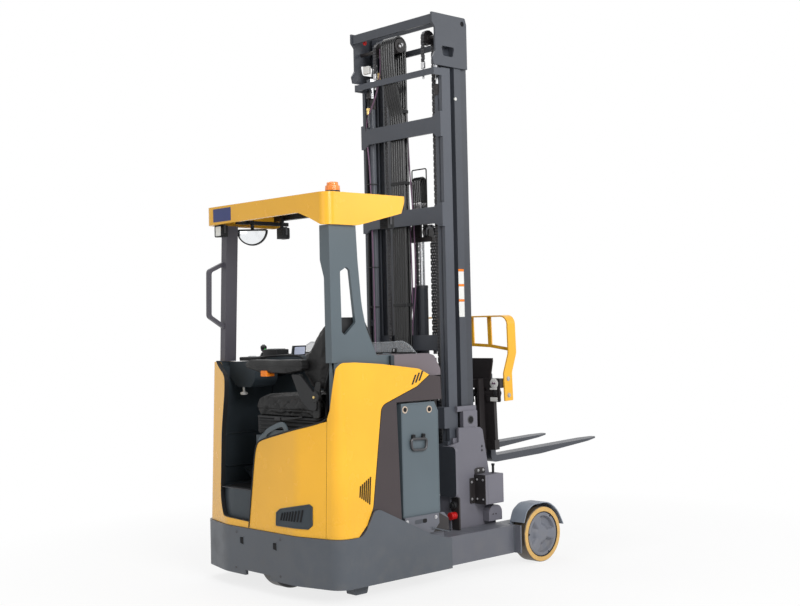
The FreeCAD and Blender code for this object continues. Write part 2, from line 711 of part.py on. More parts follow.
def make_roof_fittings():
    """Beacon, work lamps and convex mirror."""
    spot = (from_rear(170), -512)
    base = rod("Z", (*spot, D.roof_top), 34, 14, "BeaconBase")
    lens = rod("Z", (*spot, D.roof_top + 14), 42, 46, "BeaconLens")
    node("beacon", union([base, lens], "Beacon"))
    lamps = []
    for x, y, stem_x in ((105, 495, 112), (545, 455, 552), (600, -455, 620)):
        box = block((from_rear(x), from_rear(x + 46)), (y - 34, y + 34), (2062, 2130), "LampBox")
        stem = block((from_rear(stem_x), from_rear(stem_x + 16)), (y - 8, y + 8), (2128, 2227.5),
                     "LampStem")
        lamps.append(union([box, stem], "Lamp"))
    node("work_lamps", together(lamps, "WorkLamps"))
    disc = rod("X", (-14, 0, 0), 95, 28, "MirrorDisc")
    above = block((-50, 50), (-120, 120), (0, 120), "MirrorAbove")
    bracket = block((0, 12), (-10, 10), (-5, 60), "MirrorBracket")
    glass = union([cut(disc, [above], "MirrorHalf"), bracket], "Mirror")
    glass.Placement = FreeCAD.Placement(FreeCAD.Vector(), FreeCAD.Rotation(FreeCAD.Vector(0, 0, 1), 45))
    place(glass, from_rear(330), 455, 2108)
    node("mirror", glass)


def make_hood():
    """Cover over the battery and the clear screen on it."""
    outer = [(from_rear(562), 1205), (from_rear(562), 1335, 10), (from_rear(830), 1335, 60),
             (from_rear(880), 1322, 30), (from_rear(930), 1240, 40), (from_rear(930), 1205)]
    inner = [(from_rear(574), 1195), (from_rear(574), 1323), (from_rear(828), 1323),
             (from_rear(870), 1312), (from_rear(918), 1236), (from_rear(918), 1195)]
    shell = prism("XZ", [outer], -560, 560, "HoodOuter")
    hollow = prism("XZ", [inner], -548, 548, "HoodHollow")
    node("battery_hood", cut(shell, [hollow], "BatteryHood"))
    screen = [(-545, 1335), (-490, 1384, 60), (-425, 1412, 60), (0, 1388, 1500), (425, 1412, 60),
              (490, 1384, 60), (545, 1335)]
    node("clear_screen", pad_body("YZ", [screen], from_rear(752), from_rear(757), "ClearScreen"))


# ---------------------------------------------------------------- reach carriage and outer mast
def make_reach_carriage():
    """Side plates with cross plates, track rollers, covers and the mast's brackets."""
    plate = prism("XZ", [[(from_mast(-42), 110), (from_mast(-42), 757, 20), (from_mast(43), 775),
                          (from_mast(43), 863), (from_mast(233), 855, 20), (from_mast(258), 838, 10),
                          (from_mast(308), 570), (from_mast(363), 243), (from_mast(363), 110)]],
                  -405, -387, "SidePlate")
    spacer = block((from_mast(10), from_mast(60)), (-388, -370.5), (190, 800), "Spacer")
    back = block((from_mast(-42), from_mast(-24)), (-400, 400), (115, 450), "BackPlate")
    base = block((from_mast(-40), from_mast(200)), (-400, 400), (110, 128), "BasePlate")
    parts = [plate, spacer]
    for x in (90, 300):
        parts.append(rod("Y", (from_mast(x), -497, 165), 64, 67, "Roller"))
        parts.append(rod("Y", (from_mast(x), -431, 165), 20, 27, "RollerStub"))
    rear_plate = prism("YZ", [[(-478, 450, 30), (-330, 450, 30), (-330, 757, 30), (-478, 757, 30)]],
                       from_mast(-62), from_mast(-41), "RearPlate")
    cover = prism("XZ", [[(from_mast(243), 270), (from_mast(243), 366, 50), (from_mast(363), 366, 50),
                          (from_mast(363), 270)]], -458, -404, "RollerCover")
    box = block((from_mast(173), from_mast(333)), (-500, -404), (385, 565), "ValveBox")
    pivot = prism("XZ", [[(from_mast(93), 858), (from_mast(93), 962), (from_mast(218), 962, 8),
                          (from_mast(218), 858)], (from_mast(158), 905, 25)],
                  -400, -370.5, "PivotBlock")
    foot = block((from_mast(50), from_mast(218)), (-392, -370.5), (960, 992), "FootBlock")
    parts += [rear_plate, cover, pivot, foot]
    node("carriage_frame", union([back, base, box] + parts + [mirror(part) for part in parts],
                                 "CarriageFrame"))


def rail(section, low, high, name):
    """A mast rail: a closed section in plan, counted from the mast's rear face."""
    return prism("XY", [[(from_mast(x), y) for x, y in section]], low, high, name)


def make_outer_mast():
    """Outer channels with two cross beams and a top bar; lift barrels inside."""
    channel = rail([(0, -370), (74, -370), (74, -345), (62, -345), (62, -358), (12, -358),
                    (12, -345), (0, -345)], 128, D.outer_top, "OuterRail")
    beams = []
    for middle, half, flare in ((2740, 50, 28), (2181, 51, 22), (700, 60, 20)):
        low, high = middle - half, middle + half
        beams.append(prism("YZ", [[(-370, low - flare), (-335, low - flare), (-300, low, 30),
                                   (300, low, 30), (335, low - flare), (370, low - flare),
                                   (370, high + flare), (335, high + flare), (300, high, 30),
                                   (-300, high, 30), (-335, high + flare), (-370, high + flare)]],
                           from_mast(-18), from_mast(0), "CrossBeam"))
    lug = block((from_mast(-66), from_mast(10)), (-370, -358), (3040, 3085), "TopLug")
    bar = block((from_mast(-66), from_mast(-54)), (-370, 370), (3045, 3083), "TopBar")
    barrel = cut(rod("Z", (from_mast(28), -310, 128), 23, 2832, "Barrel"),
                 [rod("Z", (from_mast(28), -310, 160), 18, 2900, "BarrelBore")], "LiftBarrel")
    clamps = [block((from_mast(10), from_mast(46)), (-360, -331), (low, low + 40), "Clamp")
              for low in (140, 1500, 2900)]
    foot = block((from_mast(-42), from_mast(8)), (-370, -300), (862, 992), "FootLug")
    side = [channel, lug, foot, barrel] + clamps
    node("mast_outer", union(side + [mirror(part) for part in side] + beams + [bar], "MastOuter"))


# ---------------------------------------------------------------- middle mast
def make_middle_mast():
    """Middle rails, head plates and bars, rods, chains, sheaves and hoses."""
    section = rail([(59, -330), (110, -330), (110, -370), (168, -370), (168, -318), (71, -318),
                    (71, -290), (59, -290)], D.rail_bottom, D.mast_top - 4, "MiddleRail")
    ties = [block((from_mast(59), from_mast(71)), (-320, 320), (low, high), "MiddleTie")
            for low, high in ((260, 380), (1338, 1436), (3376, 3411))]
    hand_hole = [(from_mast(5), 3160, 15), (from_mast(91), 3160, 15), (from_mast(106), 3222, 12),
                 (from_mast(-8), 3222, 12)]
    head = prism("XZ", [[(from_mast(-77), 3098), (from_mast(-87), 3140, 10), (from_mast(-60), 3180, 20),
                         (from_mast(-60), 3330, 20), (from_mast(-87), 3360, 20),
                         (from_mast(-87), D.mast_top), (from_mast(205), D.mast_top, 12),
                         (from_mast(218), 3380, 10), (from_mast(218), 3098)], hand_hole,
                        (from_mast(180), 3381, 16)],
                 -383, -369.5, "HeadPlate")
    bar = block((from_mast(-80), from_mast(-66)), (-371, 371), (3353, 3411), "HeadBar")
    cheek = block((from_mast(-80), from_mast(-66)), (-383, -370), (3353, 3411), "HeadCheek")
    side = [section, head, cheek]
    node("mast_middle", union(side + [mirror(part) for part in side] + ties + [bar], "MastMiddle"))

    runs = []
    for start, reach, wheel_y, width, chain_y in ((-369, 130, -270, 30, -255), (170, 199, 175, 30, 190)):
        runs.append(union([rod("Y", (from_mast(0), start, 3290), 12, reach, "SheaveShaft"),
                           rod("Y", (from_mast(0), wheel_y, 3290), 45, width, "Sheave"),
                           block((from_mast(38), from_mast(50)), (chain_y - 13, chain_y + 13),
                                 (450, 3290), "Chain")], "ChainRun"))
    wide = union([rod("Y", (from_mast(0), -12, 3290), 12, 185, "WideShaft"),
                  rod("Y", (from_mast(0), -4, 3290), 45, 126, "WideSheave")], "HoseSheave")
    runs[1] = union([runs[1], wide], "LeftRun")
    node("mast_chains", together(runs, "MastChains"))

    lift_rod = rod("Z", (from_mast(28), -310, 600), 15, 2495, "LiftRod")
    rod_head = block((from_mast(5), from_mast(58)), (-330, -292), (3094, 3125), "RodHead")
    foot = union([lift_rod, rod_head], "LiftRodHead")
    node("lift_rods", both(foot, "LiftRods"))

    hoses = [rod("Z", (from_mast(49.5), y, 450), 9, 2790, "Hose")
             for y in (6, 27, 48, 69, 90, 111)]
    node("mast_hoses", together(hoses, "MastHoses"))


# ---------------------------------------------------------------- inner mast
def make_inner_mast():
    """Inner rails and ties, with the free lift cylinder between them."""
    section = rail([(83, -309), (174, -309), (174, -360), (228, -360), (228, -297), (95, -297),
                    (95, -262), (83, -262)], D.rail_bottom + 10, D.inner_top, "InnerRail")
    ties = [block((from_mast(83), from_mast(95)), (-300, 300), (low, high), "InnerTie")
            for low, high in ((260, 360), (2140, 2220), (3230, 3268))]
    shelf = block((from_mast(83), from_mast(180)), (-65, 35), (240, 270), "CylinderShelf")
    x, y = from_mast(143), -15
    barrel = cut(rod("Z", (x, y, 268), 34, 1477, "FreeBarrel"),
                 [rod("Z", (x, y, 300), 21, 1500, "FreeBore")], "FreeLiftBarrel")
    node("mast_inner", union([section, mirror(section), shelf, barrel] + ties, "MastInner"))
    piston = rod("Z", (x, y, 700), 18, 1335, "Piston")
    cross = block((x - 25, x + 25), (y - 112, y + 112), (2035, 2065), "CrossHead")
    reeved = []
    for middle in (y - 90, y + 90):
        reeved.append(rod("Y", (x, middle - 16, 2095), 42, 32, "FreeSheave"))
        reeved.append(block((x + 38, x + 48), (middle - 13, middle + 13), (1330, 2095), "FreeChain"))
    node("free_lift_rod", union([piston, cross] + reeved, "FreeLiftRod"))


# ---------------------------------------------------------------- lift carriage and forks
def make_lift_carriage():
    """The frame that climbs the inner mast and holds the tilt pins."""
    runner = block((from_mast(103), from_mast(226)), (-290, -272), (740, 1250), "Runner")
    cheek = prism("XZ", [[(from_mast(215), 600), (from_mast(215), 1270), (from_mast(300), 1270),
                          (from_mast(312), 780, 20), (from_mast(364), 750, 20),
                          (from_mast(364), 660, 20), (from_mast(330), 600)]],
                  -262, -240, "CarriageCheek")
    pin = rod("Y", (D.pin_x, -292, D.pin_z), 14, 52, "TiltPin")
    bars = [block((from_mast(206), from_mast(226)), (-290, 290), (low, high), "CarriageBar")
            for low, high in ((1150, 1250), (760, 860))]
    apron = block((from_mast(233), from_mast(251)), (-262, 262), (605, 800), "Apron")
    parts = [runner, mirror(runner), cheek, mirror(cheek), pin, mirror(pin), apron] + bars
    node("lift_carriage", union(parts, "LiftCarriage"))


def tilt(item):
    """Turn a piece modelled round the tilt pin up to the forks' rest angle."""
    item.Placement = FreeCAD.Placement(FreeCAD.Vector(), FreeCAD.Rotation(FreeCAD.Vector(0, -1, 0), 1))
    bind(item, "Placement.Rotation.Angle", D.fork_tilt)
    place(item, D.pin_x, 0, D.pin_z)
    return item


def make_tilt_frame():
    """Cheeks on the tilt pins with two cross bars that the side shifter slides on."""
    cheek = prism("XZ", [[(-28, -30, 20), (75, -30), (75, 445), (30, 445), (25, 60, 40), (-28, 30, 20)],
                         (0, 0, 14.05)], -286, -268, "TiltCheek")
    bars = [block((30, 72), (-286, 286), (low, high), "TiltBar") for low, high in ((-28, 22), (388, 442))]
    pads = [block((72, 81), (y, y + 50), (low, high), "SlidePad")
            for y in (-250, 200) for low, high in ((-20, 14), (396, 434))]
    node("tilt_frame", tilt(union([cheek, mirror(cheek)] + bars + pads, "TiltFrame")))


def make_fork_frame():
    """Side shifter: two hook bars, uprights and the shift cylinder."""
    bars = [block((82, 125), (-half, half), (low, high), "HookBar")
            for half, low, high in ((420, 385, 445), (355, -12, 50))]
    upright = block((90, 115), (-355, -190), (45, 390), "Upright")
    guard = prism("YZ", [[(-335, 440), (-150, 440), (-150, 576), (-362, 576), (-362, 556)]], 84, 94,
                  "ShifterGuard")
    cylinder = rod("Y", (102, -392, 350), 22, 784, "ShiftCylinder")
    side = [upright, guard]
    node("fork_frame", tilt(union(bars + side + [mirror(part) for part in side] + [cylinder],
                                  "ForkFrame")))


def make_forks():
    """Two forged forks hooked over the frame, with tapered and rounded tips."""
    back, front = 125.5, 171
    tip = front + D.fork_length
    side = [(back, -103, 45), (front + 450, -103), (tip, -70, 4), (tip, -60, 3), (front, -60, 12),
            (front, 472, 8), (97, 472, 8), (97, 445.5), (back, 445.5)]
    half = D.fork_width / 2
    y = -D.fork_y
    plan_view = [(90, y - half), (tip - 120, y - half, 60), (tip, y - 22, 20), (tip, y + 22, 20),
                 (tip - 120, y + half, 60), (90, y + half)]
    fork = common([prism("XZ", [side], y - 60, y + 60, "ForkSide"),
                   prism("XY", [plan_view], -120, 480, "ForkPlan")], "Fork")
    node("forks", tilt(both(fork, "Forks")))


def make_load_backrest():
    """Bent flat-bar guard above the forks."""
    post = prism("XZ", [[(116, 300, 6), (192, 300, 6), (192, 478, 60), (242, 600, 60), (242, 845, 12),
                         (170, 845), (168, 600, 60), (116, 478, 60)]], -430.5, -420.5, "Post")
    bend = prism("YZ", [[(-430.5, 780), (-430.5, 845, 60), (-365, 845), (-365, 836), (-421, 836, 50.5),
                         (-421, 780)]], 170, 242, "BackrestBend")
    top = block((170, 242), (-368, 368), (836, 845), "BackrestTop")
    lower = prism("YZ", [[(-425, 612), (-237, 638), (0, 650, 900), (237, 638), (425, 612), (425, 632),
                          (237, 658), (0, 670, 900), (-237, 658), (-425, 632)]], 205, 215,
                  "BackrestBar")
    uprights = [block((205, 215), (y - 15, y + 15), (645, 840), "BackrestUpright")
                for y in (-237, -80, 80, 237)]
    post = union([cut(post, [block((90, 260), (-440, -410), (780, 860), "PostTop")], "PostFoot"), bend],
                 "BentPost")
    parts = [post, mirror(post), top, lower] + uprights
    node("load_backrest", tilt(union(parts, "LoadBackrest")))


# ---------------------------------------------------------------- the document
def main():
    """Build every sub-part, check the document and write the STEP files."""
    make_chassis_skirt()
    make_straddle_legs()
    make_battery()
    make_mudguards()
    for side, sign in (("right", -1), ("left", 1)):
        make_load_wheel(side, sign)
    make_drive_unit()
    make_panels()
    make_cab()
    make_seat()
    make_controls()
    make_pillars()
    make_roof()
    make_roof_fittings()
    make_hood()
    make_reach_carriage()
    make_outer_mast()
    make_middle_mast()
    make_inner_mast()
    make_lift_carriage()
    make_tilt_frame()
    make_fork_frame()
    make_forks()
    make_load_backrest()
    doc.recompute()
    for item in doc.Objects:
        if "Invalid" in item.State or "Error" in item.State:
            raise RuntimeError(f"{item.Name} ({item.Label}) failed: {item.State}")
    os.makedirs("parts", exist_ok=True)
    for label, item in NODES.items():
        shape = item.Shape
        if shape.isNull() or not shape.isValid() or not shape.Solids:
            raise RuntimeError(f"{label} has no valid shape")
        shape.exportStep(f"parts/{label}.step")
        print(label, len(shape.Solids), round(shape.Volume / 1000), "cm3")


main()
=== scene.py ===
"""Looks of a seated reach truck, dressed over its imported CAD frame.

The file is laid out as an add-on: sizes and colours are properties, and each piece has an operator.
"""
import math

import bmesh
import bpy
import numpy as np
from bpy.props import FloatProperty, FloatVectorProperty, IntProperty, PointerProperty
from mathutils import Matrix, Vector


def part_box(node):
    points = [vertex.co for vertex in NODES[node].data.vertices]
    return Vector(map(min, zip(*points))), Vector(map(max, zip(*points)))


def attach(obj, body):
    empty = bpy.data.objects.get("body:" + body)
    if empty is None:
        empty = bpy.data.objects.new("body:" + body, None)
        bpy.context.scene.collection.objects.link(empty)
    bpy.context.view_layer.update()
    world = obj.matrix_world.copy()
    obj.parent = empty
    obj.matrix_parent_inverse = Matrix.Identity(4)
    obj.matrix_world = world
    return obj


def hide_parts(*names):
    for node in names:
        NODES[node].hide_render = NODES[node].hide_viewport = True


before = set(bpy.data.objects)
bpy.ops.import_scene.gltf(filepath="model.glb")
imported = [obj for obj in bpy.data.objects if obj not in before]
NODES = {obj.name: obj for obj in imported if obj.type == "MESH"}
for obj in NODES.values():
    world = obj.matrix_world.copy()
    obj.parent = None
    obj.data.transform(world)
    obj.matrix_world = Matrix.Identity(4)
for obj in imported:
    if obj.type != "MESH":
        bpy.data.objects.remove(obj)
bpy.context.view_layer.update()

bl_info = {
    "name": "Reach truck",
    "version": (1, 0, 0),
    "blender": (4, 5, 0),
    "location": "View3D > Sidebar > Reach truck",
    "description": "Adds the visible pieces and finishes of a seated reach truck",
    "category": "Add Mesh",
}

PI = math.pi
POLE = 0.0001  # radius of a turned profile where it meets its axis
WALL_FOOT, WALL_LEAN = 0.352, 0.0349  # height of the body walls' foot, and their lean inwards
WELD_RIPPLE = 900  # radians of a weld's ripple in a metre
FLOOR_HALF = 60
WHITE_RAYS = ("Is Camera Ray", "Is Glossy Ray", "Is Transmission Ray")


# ---- properties
def linear(red, green, blue):
    """A colour written as 0 to 255 display values, as linear values."""
    return tuple((((c / 255 + 0.055) / 1.055) ** 2.4 if c > 10 else c / 255 / 12.92
        for c in (red, green, blue)))


def colour_property(name, description, rgb):
    """A colour property with its default."""
    return FloatVectorProperty(name=name, description=description, default=linear(*rgb), subtype="COLOR",
        min=0, max=1)


class TruckColours(bpy.types.PropertyGroup):
    """Colours of the truck's finishes."""
    yellow: colour_property("Body", "Gloss paint of the body panels and the guard", (247, 184, 46))
    # The legs and battery brackets take a lighter, fixed copy of this paint: painted light on their side
    # faces.
    chassis: colour_property("Chassis", "Satin paint of the skirt and legs", (82, 87, 94))
    # The left pillar takes a darker, browner fixed copy of this paint: painted shade.
    pillar: colour_property("Pillars", "Paint of the guard's pillars and battery", (94, 106, 113))
    # The middle and inner mast sections and the lift carriage take darker copies of this paint: painted
    # shade.
    mast: colour_property("Mast", "Paint of the mast rails", (76, 80, 88))
    brown: colour_property("Covers", "Paint of the dark covers beside the battery", (60, 52, 54))
    lining: colour_property("Lining", "Moulded lining of the operator's place", (50, 58, 64))
    black: colour_property("Trim", "Black plastic and rubber", (22, 23, 25))
    leather: colour_property("Seat", "Cover of the seat", (15, 15, 16))
    tread: colour_property("Wheel ring", "Cast ring of the load wheels", (214, 172, 100))
    beacon: colour_property("Beacon", "Amber lens of the beacon", (236, 132, 14))


def length_property(name, description, size, least):
    """A length property with its default and its least value, in metres."""
    return FloatProperty(name=name, description=description, default=size, min=least, unit="LENGTH")


class TruckSizes(bpy.types.PropertyGroup):
    """Sizes that a user would change."""
    bolt: length_property("Bolt head", "Width of an ordinary bolt head", 0.018, 0.005)
    chain_pitch: length_property("Chain pitch", "Distance between chain pins", 0.0191, 0.01)
    seat_swell: length_property("Seat swell", "How far the seat's foam swells", 0.012, 0)
    bellows_folds: IntProperty(name="Bellows folds", description="Folds of the seat's bellows", default=4,
        min=1)
    grain: length_property("Paint texture", "Size of the paint's orange peel", 0.004, 0.0005)


# ---- material nodes
class Value:
    """A number socket of a finish; arithmetic on it adds Math nodes."""

    def __init__(self, finish, socket):
        self.finish = finish
        self.socket = socket

    def math(self, operation, *others):
        values = {i: v for i, v in enumerate((self,) + others)}
        return self.finish.add("ShaderNodeMath", {"operation": operation}, values)

    def __add__(self, other):
        return self.math("ADD", other)
    __radd__ = __add__

    def __sub__(self, other):
        return self.math("SUBTRACT", other)

    def __rsub__(self, other):
        return self.finish.add("ShaderNodeMath", {"operation": "SUBTRACT"}, {0: other, 1: self})

    def __mul__(self, other):
        return self.math("MULTIPLY", other)
    __rmul__ = __mul__

    def clamp(self):
        """The value held between 0 and 1."""
        return self.finish.add("ShaderNodeClamp", {}, {"Value": self})

    def step(self, low, high):
        """A smooth rise from 0 at low to 1 at high."""
        return self.finish.add("ShaderNodeMapRange", {"interpolation_type": "SMOOTHSTEP"}, {"Value": self,
            "From Min": low, "From Max": high})


class Finish:
    """A material with a Principled shader, built from expressions."""

    def __init__(self, name, colour, roughness, metallic=0.0, coat=0.0, **fixed):
        self.material = bpy.data.materials.new(name)
        self.material.use_nodes = True
        self.material.diffuse_color = (*colour, 1)
        self.tree = self.material.node_tree
        self.shader = self.tree.nodes["Principled BSDF"]
        self.put("Base Color", (*colour, 1))
        self.put("Roughness", roughness)
        self.put("Metallic", metallic)
        self.put("Coat Weight", coat)
        for key, value in fixed.items():
            self.put(key.replace("_", " ").title().replace("Ior", "IOR"), value)
        self._place = None

    def put(self, socket, value):
        """Set or link a socket of the Principled shader."""
        if isinstance(value, Value):
            self.tree.links.new(value.socket, self.shader.inputs[socket])
        else:
            self.shader.inputs[socket].default_value = value

    def add(self, kind, settings, values, output=0):
        """Add a node: its settings first, then its sockets' values or links."""
        node = self.tree.nodes.new(kind)
        for key, value in settings.items():
            setattr(node, key, value)
        for key, value in values.items():
            if isinstance(value, Value):
                self.tree.links.new(value.socket, node.inputs[key])
            else:
                node.inputs[key].default_value = value
        return Value(self, node.outputs[output])

    @property
    def place(self):
        """The point on the object, in metres."""
        if self._place is None:
            self._place = self.add("ShaderNodeTexCoord", {}, {}, "Object")
        return self._place

    def axes(self):
        """The X, Y and Z values of the place."""
        node = self.add("ShaderNodeSeparateXYZ", {}, {0: self.place})
        return [Value(self, out) for out in node.socket.node.outputs]

    def stretched(self, x, y, z):
        """The place with each axis scaled."""
        return self.add("ShaderNodeVectorMath", {"operation": "MULTIPLY"}, {0: self.place, 1: (x, y, z)})

    def noise(self, size, detail=3, vector=None):
        """Cloudy noise with features of this size in metres, from 0 to 1."""
        return self.add("ShaderNodeTexNoise", {}, {"Vector": vector or self.place, "Scale": 1 / size,
            "Detail": detail})

    def mix(self, factor, first, second):
        """A colour between two colours."""
        tones = [t if isinstance(t, Value) else (*t[:3], 1) for t in (first, second)]
        return self.add("ShaderNodeMix", {"data_type": "RGBA"}, {0: factor, 6: tones[0], 7: tones[1]}, 2)

    def bump(self, height, strength, distance):
        """Relief: height from 0 to 1 stands distance metres high."""
        values = {"Height": height, "Strength": strength, "Distance": distance}
        self.put("Normal", self.add("ShaderNodeBump", {}, values))


def shade(colour, factor):
    """A colour made darker or lighter by a factor."""
    return tuple((min(1, c * factor) for c in colour[:3]))


def painted(name, colour, roughness=0.4, coat=0.05, peel=0.3, dust=0.1, grime=0.0):
    """Sprayed paint: slow drift of tone, orange peel, fine scratches, and dust low down."""
    finish = Finish(name, colour, roughness, coat=coat, coat_roughness=0.12, specular_ior_level=0.35)
    z = finish.axes()[2]
    drift = finish.noise(0.6, 2)
    tone = finish.mix(drift.step(0.3, 0.7), shade(colour, 0.93), shade(colour, 1.05))
    scratch = finish.noise(0.02, 6, finish.stretched(1, 1, 9)).step(0.66, 0.72)
    tone = finish.mix(scratch * 0.02, tone, shade(colour, 1.4))
    cloud = finish.noise(0.09, 5)
    low = (1 - z.step(0.05, 0.55)) * cloud.step(0.4, 0.75)
    tone = finish.mix(low * dust, tone, (0.3, 0.27, 0.23))
    if grime:
        spots = finish.noise(0.03, 8).step(0.55, 0.8)
        tone = finish.mix(spots * grime, tone, shade(colour, 0.45))
    finish.put("Base Color", tone)
    finish.put("Roughness", (cloud - 0.5) * 0.1 + low * 0.2 + roughness)
    grain = bpy.context.scene.truck_sizes.grain
    peel_height = finish.noise(grain, 2)
    finish.bump(peel_height, peel, 0.0004)
    return finish.material


def moulded(name, colour, roughness=0.55, grain=0.0016, depth=0.0003):
    """Moulded plastic or rubber with a fine pebble grain and a little dust."""
    finish = Finish(name, colour, roughness, specular_ior_level=0.35)
    cells = finish.add("ShaderNodeTexVoronoi", {"feature": "SMOOTH_F1"}, {"Vector": finish.place,
        "Scale": 1 / grain})
    cloud = finish.noise(0.07, 4)
    tone = finish.mix(cloud.step(0.35, 0.75) * 0.25, colour, shade(colour, 1.4))
    finish.put("Base Color", tone)
    finish.put("Roughness", (cloud - 0.5) * 0.2 + roughness)
    finish.bump(cells, 0.35, depth)
    return finish.material


def machined(name, colour, roughness=0.3, brushed=(1, 1, 1), metallic=1.0):
    """Bare or plated metal with fine brushing and some dulling."""
    finish = Finish(name, colour, roughness, metallic)
    lines = finish.noise(0.004, 3, finish.stretched(*brushed))
    cloud = finish.noise(0.05, 5)
    finish.put("Base Color", finish.mix(cloud.step(0.45, 0.8) * 0.3, colour, shade(colour, 0.6)))
    finish.put("Roughness", (lines - 0.5) * 0.15 + cloud * 0.12 + roughness)
    finish.bump(lines, 0.12, 0.0002)
    return finish.material


def hide(name, colour):
    """Leather cloth of the seat: pebbled cells, soft folds and worn, shinier high spots."""
    finish = Finish(name, colour, 0.48, coat=0.1, specular_ior_level=0.3)
    cells = finish.add("ShaderNodeTexVoronoi", {"feature": "DISTANCE_TO_EDGE"}, {"Vector": finish.place,
        "Scale": 420})
    folds = finish.noise(0.05, 3)
    worn = finish.noise(0.12, 2).step(0.45, 0.75)
    finish.put("Base Color", finish.mix(worn * 0.4, shade(colour, 0.7), shade(colour, 1.2)))
    finish.put("Roughness", 0.56 - worn * 0.14)
    height = cells.step(0.0, 0.12) * 0.35 + folds
    finish.bump(height, 0.55, 0.0012)
    return finish.material


def ring_rubber(name, colour, axle, radius):
    """Cast ring: warm side faces with scuffs, and dark where it has rolled on the floor."""
    finish = Finish(name, colour, 0.4)
    cloud = finish.noise(0.03, 5)
    fine = finish.noise(0.004, 4)
    tone = finish.mix(cloud.step(0.4, 0.8) * 0.5, colour, shade(colour, 0.72))
    x, _, z = finish.axes()
    away = ((x - axle[0]) * (x - axle[0]) + (z - axle[1]) * (z - axle[1])).math("SQRT")
    rolled = (away + cloud * 0.004 - 0.002).step(radius - 0.006, radius - 0.002)
    tone = finish.mix(rolled * 0.92, tone, shade((0.05, 0.047, 0.045), 1))
    finish.put("Base Color", tone)
    finish.put("Roughness", fine * 0.2 + 0.34)
    finish.bump(fine, 0.3, 0.0004)
    return finish.material


def tinted_clear(name, colour, alpha):
    """Clear plastic sheet, seen through."""
    finish = Finish(name, colour, 0.08, coat=0.5, alpha=alpha)
    haze = finish.noise(0.05, 5)
    finish.put("Roughness", haze * 0.12 + 0.04)
    finish.put("Alpha", haze * 0.08 + (alpha - 0.04))
    return finish.material


def glowing(name, colour, strength):
    """A lens with its own faint light."""
    finish = Finish(name, colour, 0.12, coat=0.6, emission_strength=strength)
    bands = finish.add("ShaderNodeTexWave", {"bands_direction": "Z"}, {"Vector": finish.place,
        "Scale": 45.0, "Distortion": 0.0})
    finish.put("Base Color", finish.mix(bands * 0.35, colour, shade(colour, 0.7)))
    finish.put("Emission Color", finish.mix(bands * 0.5, colour, shade(colour, 0.6)))
    finish.bump(bands, 0.5, 0.001)
    return finish.material


def wheel_axle(node):
    """X and Z of a wheel's axle."""
    low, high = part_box(node)
    return (low.x + high.x) / 2, (low.z + high.z) / 2


FINISHES = {}


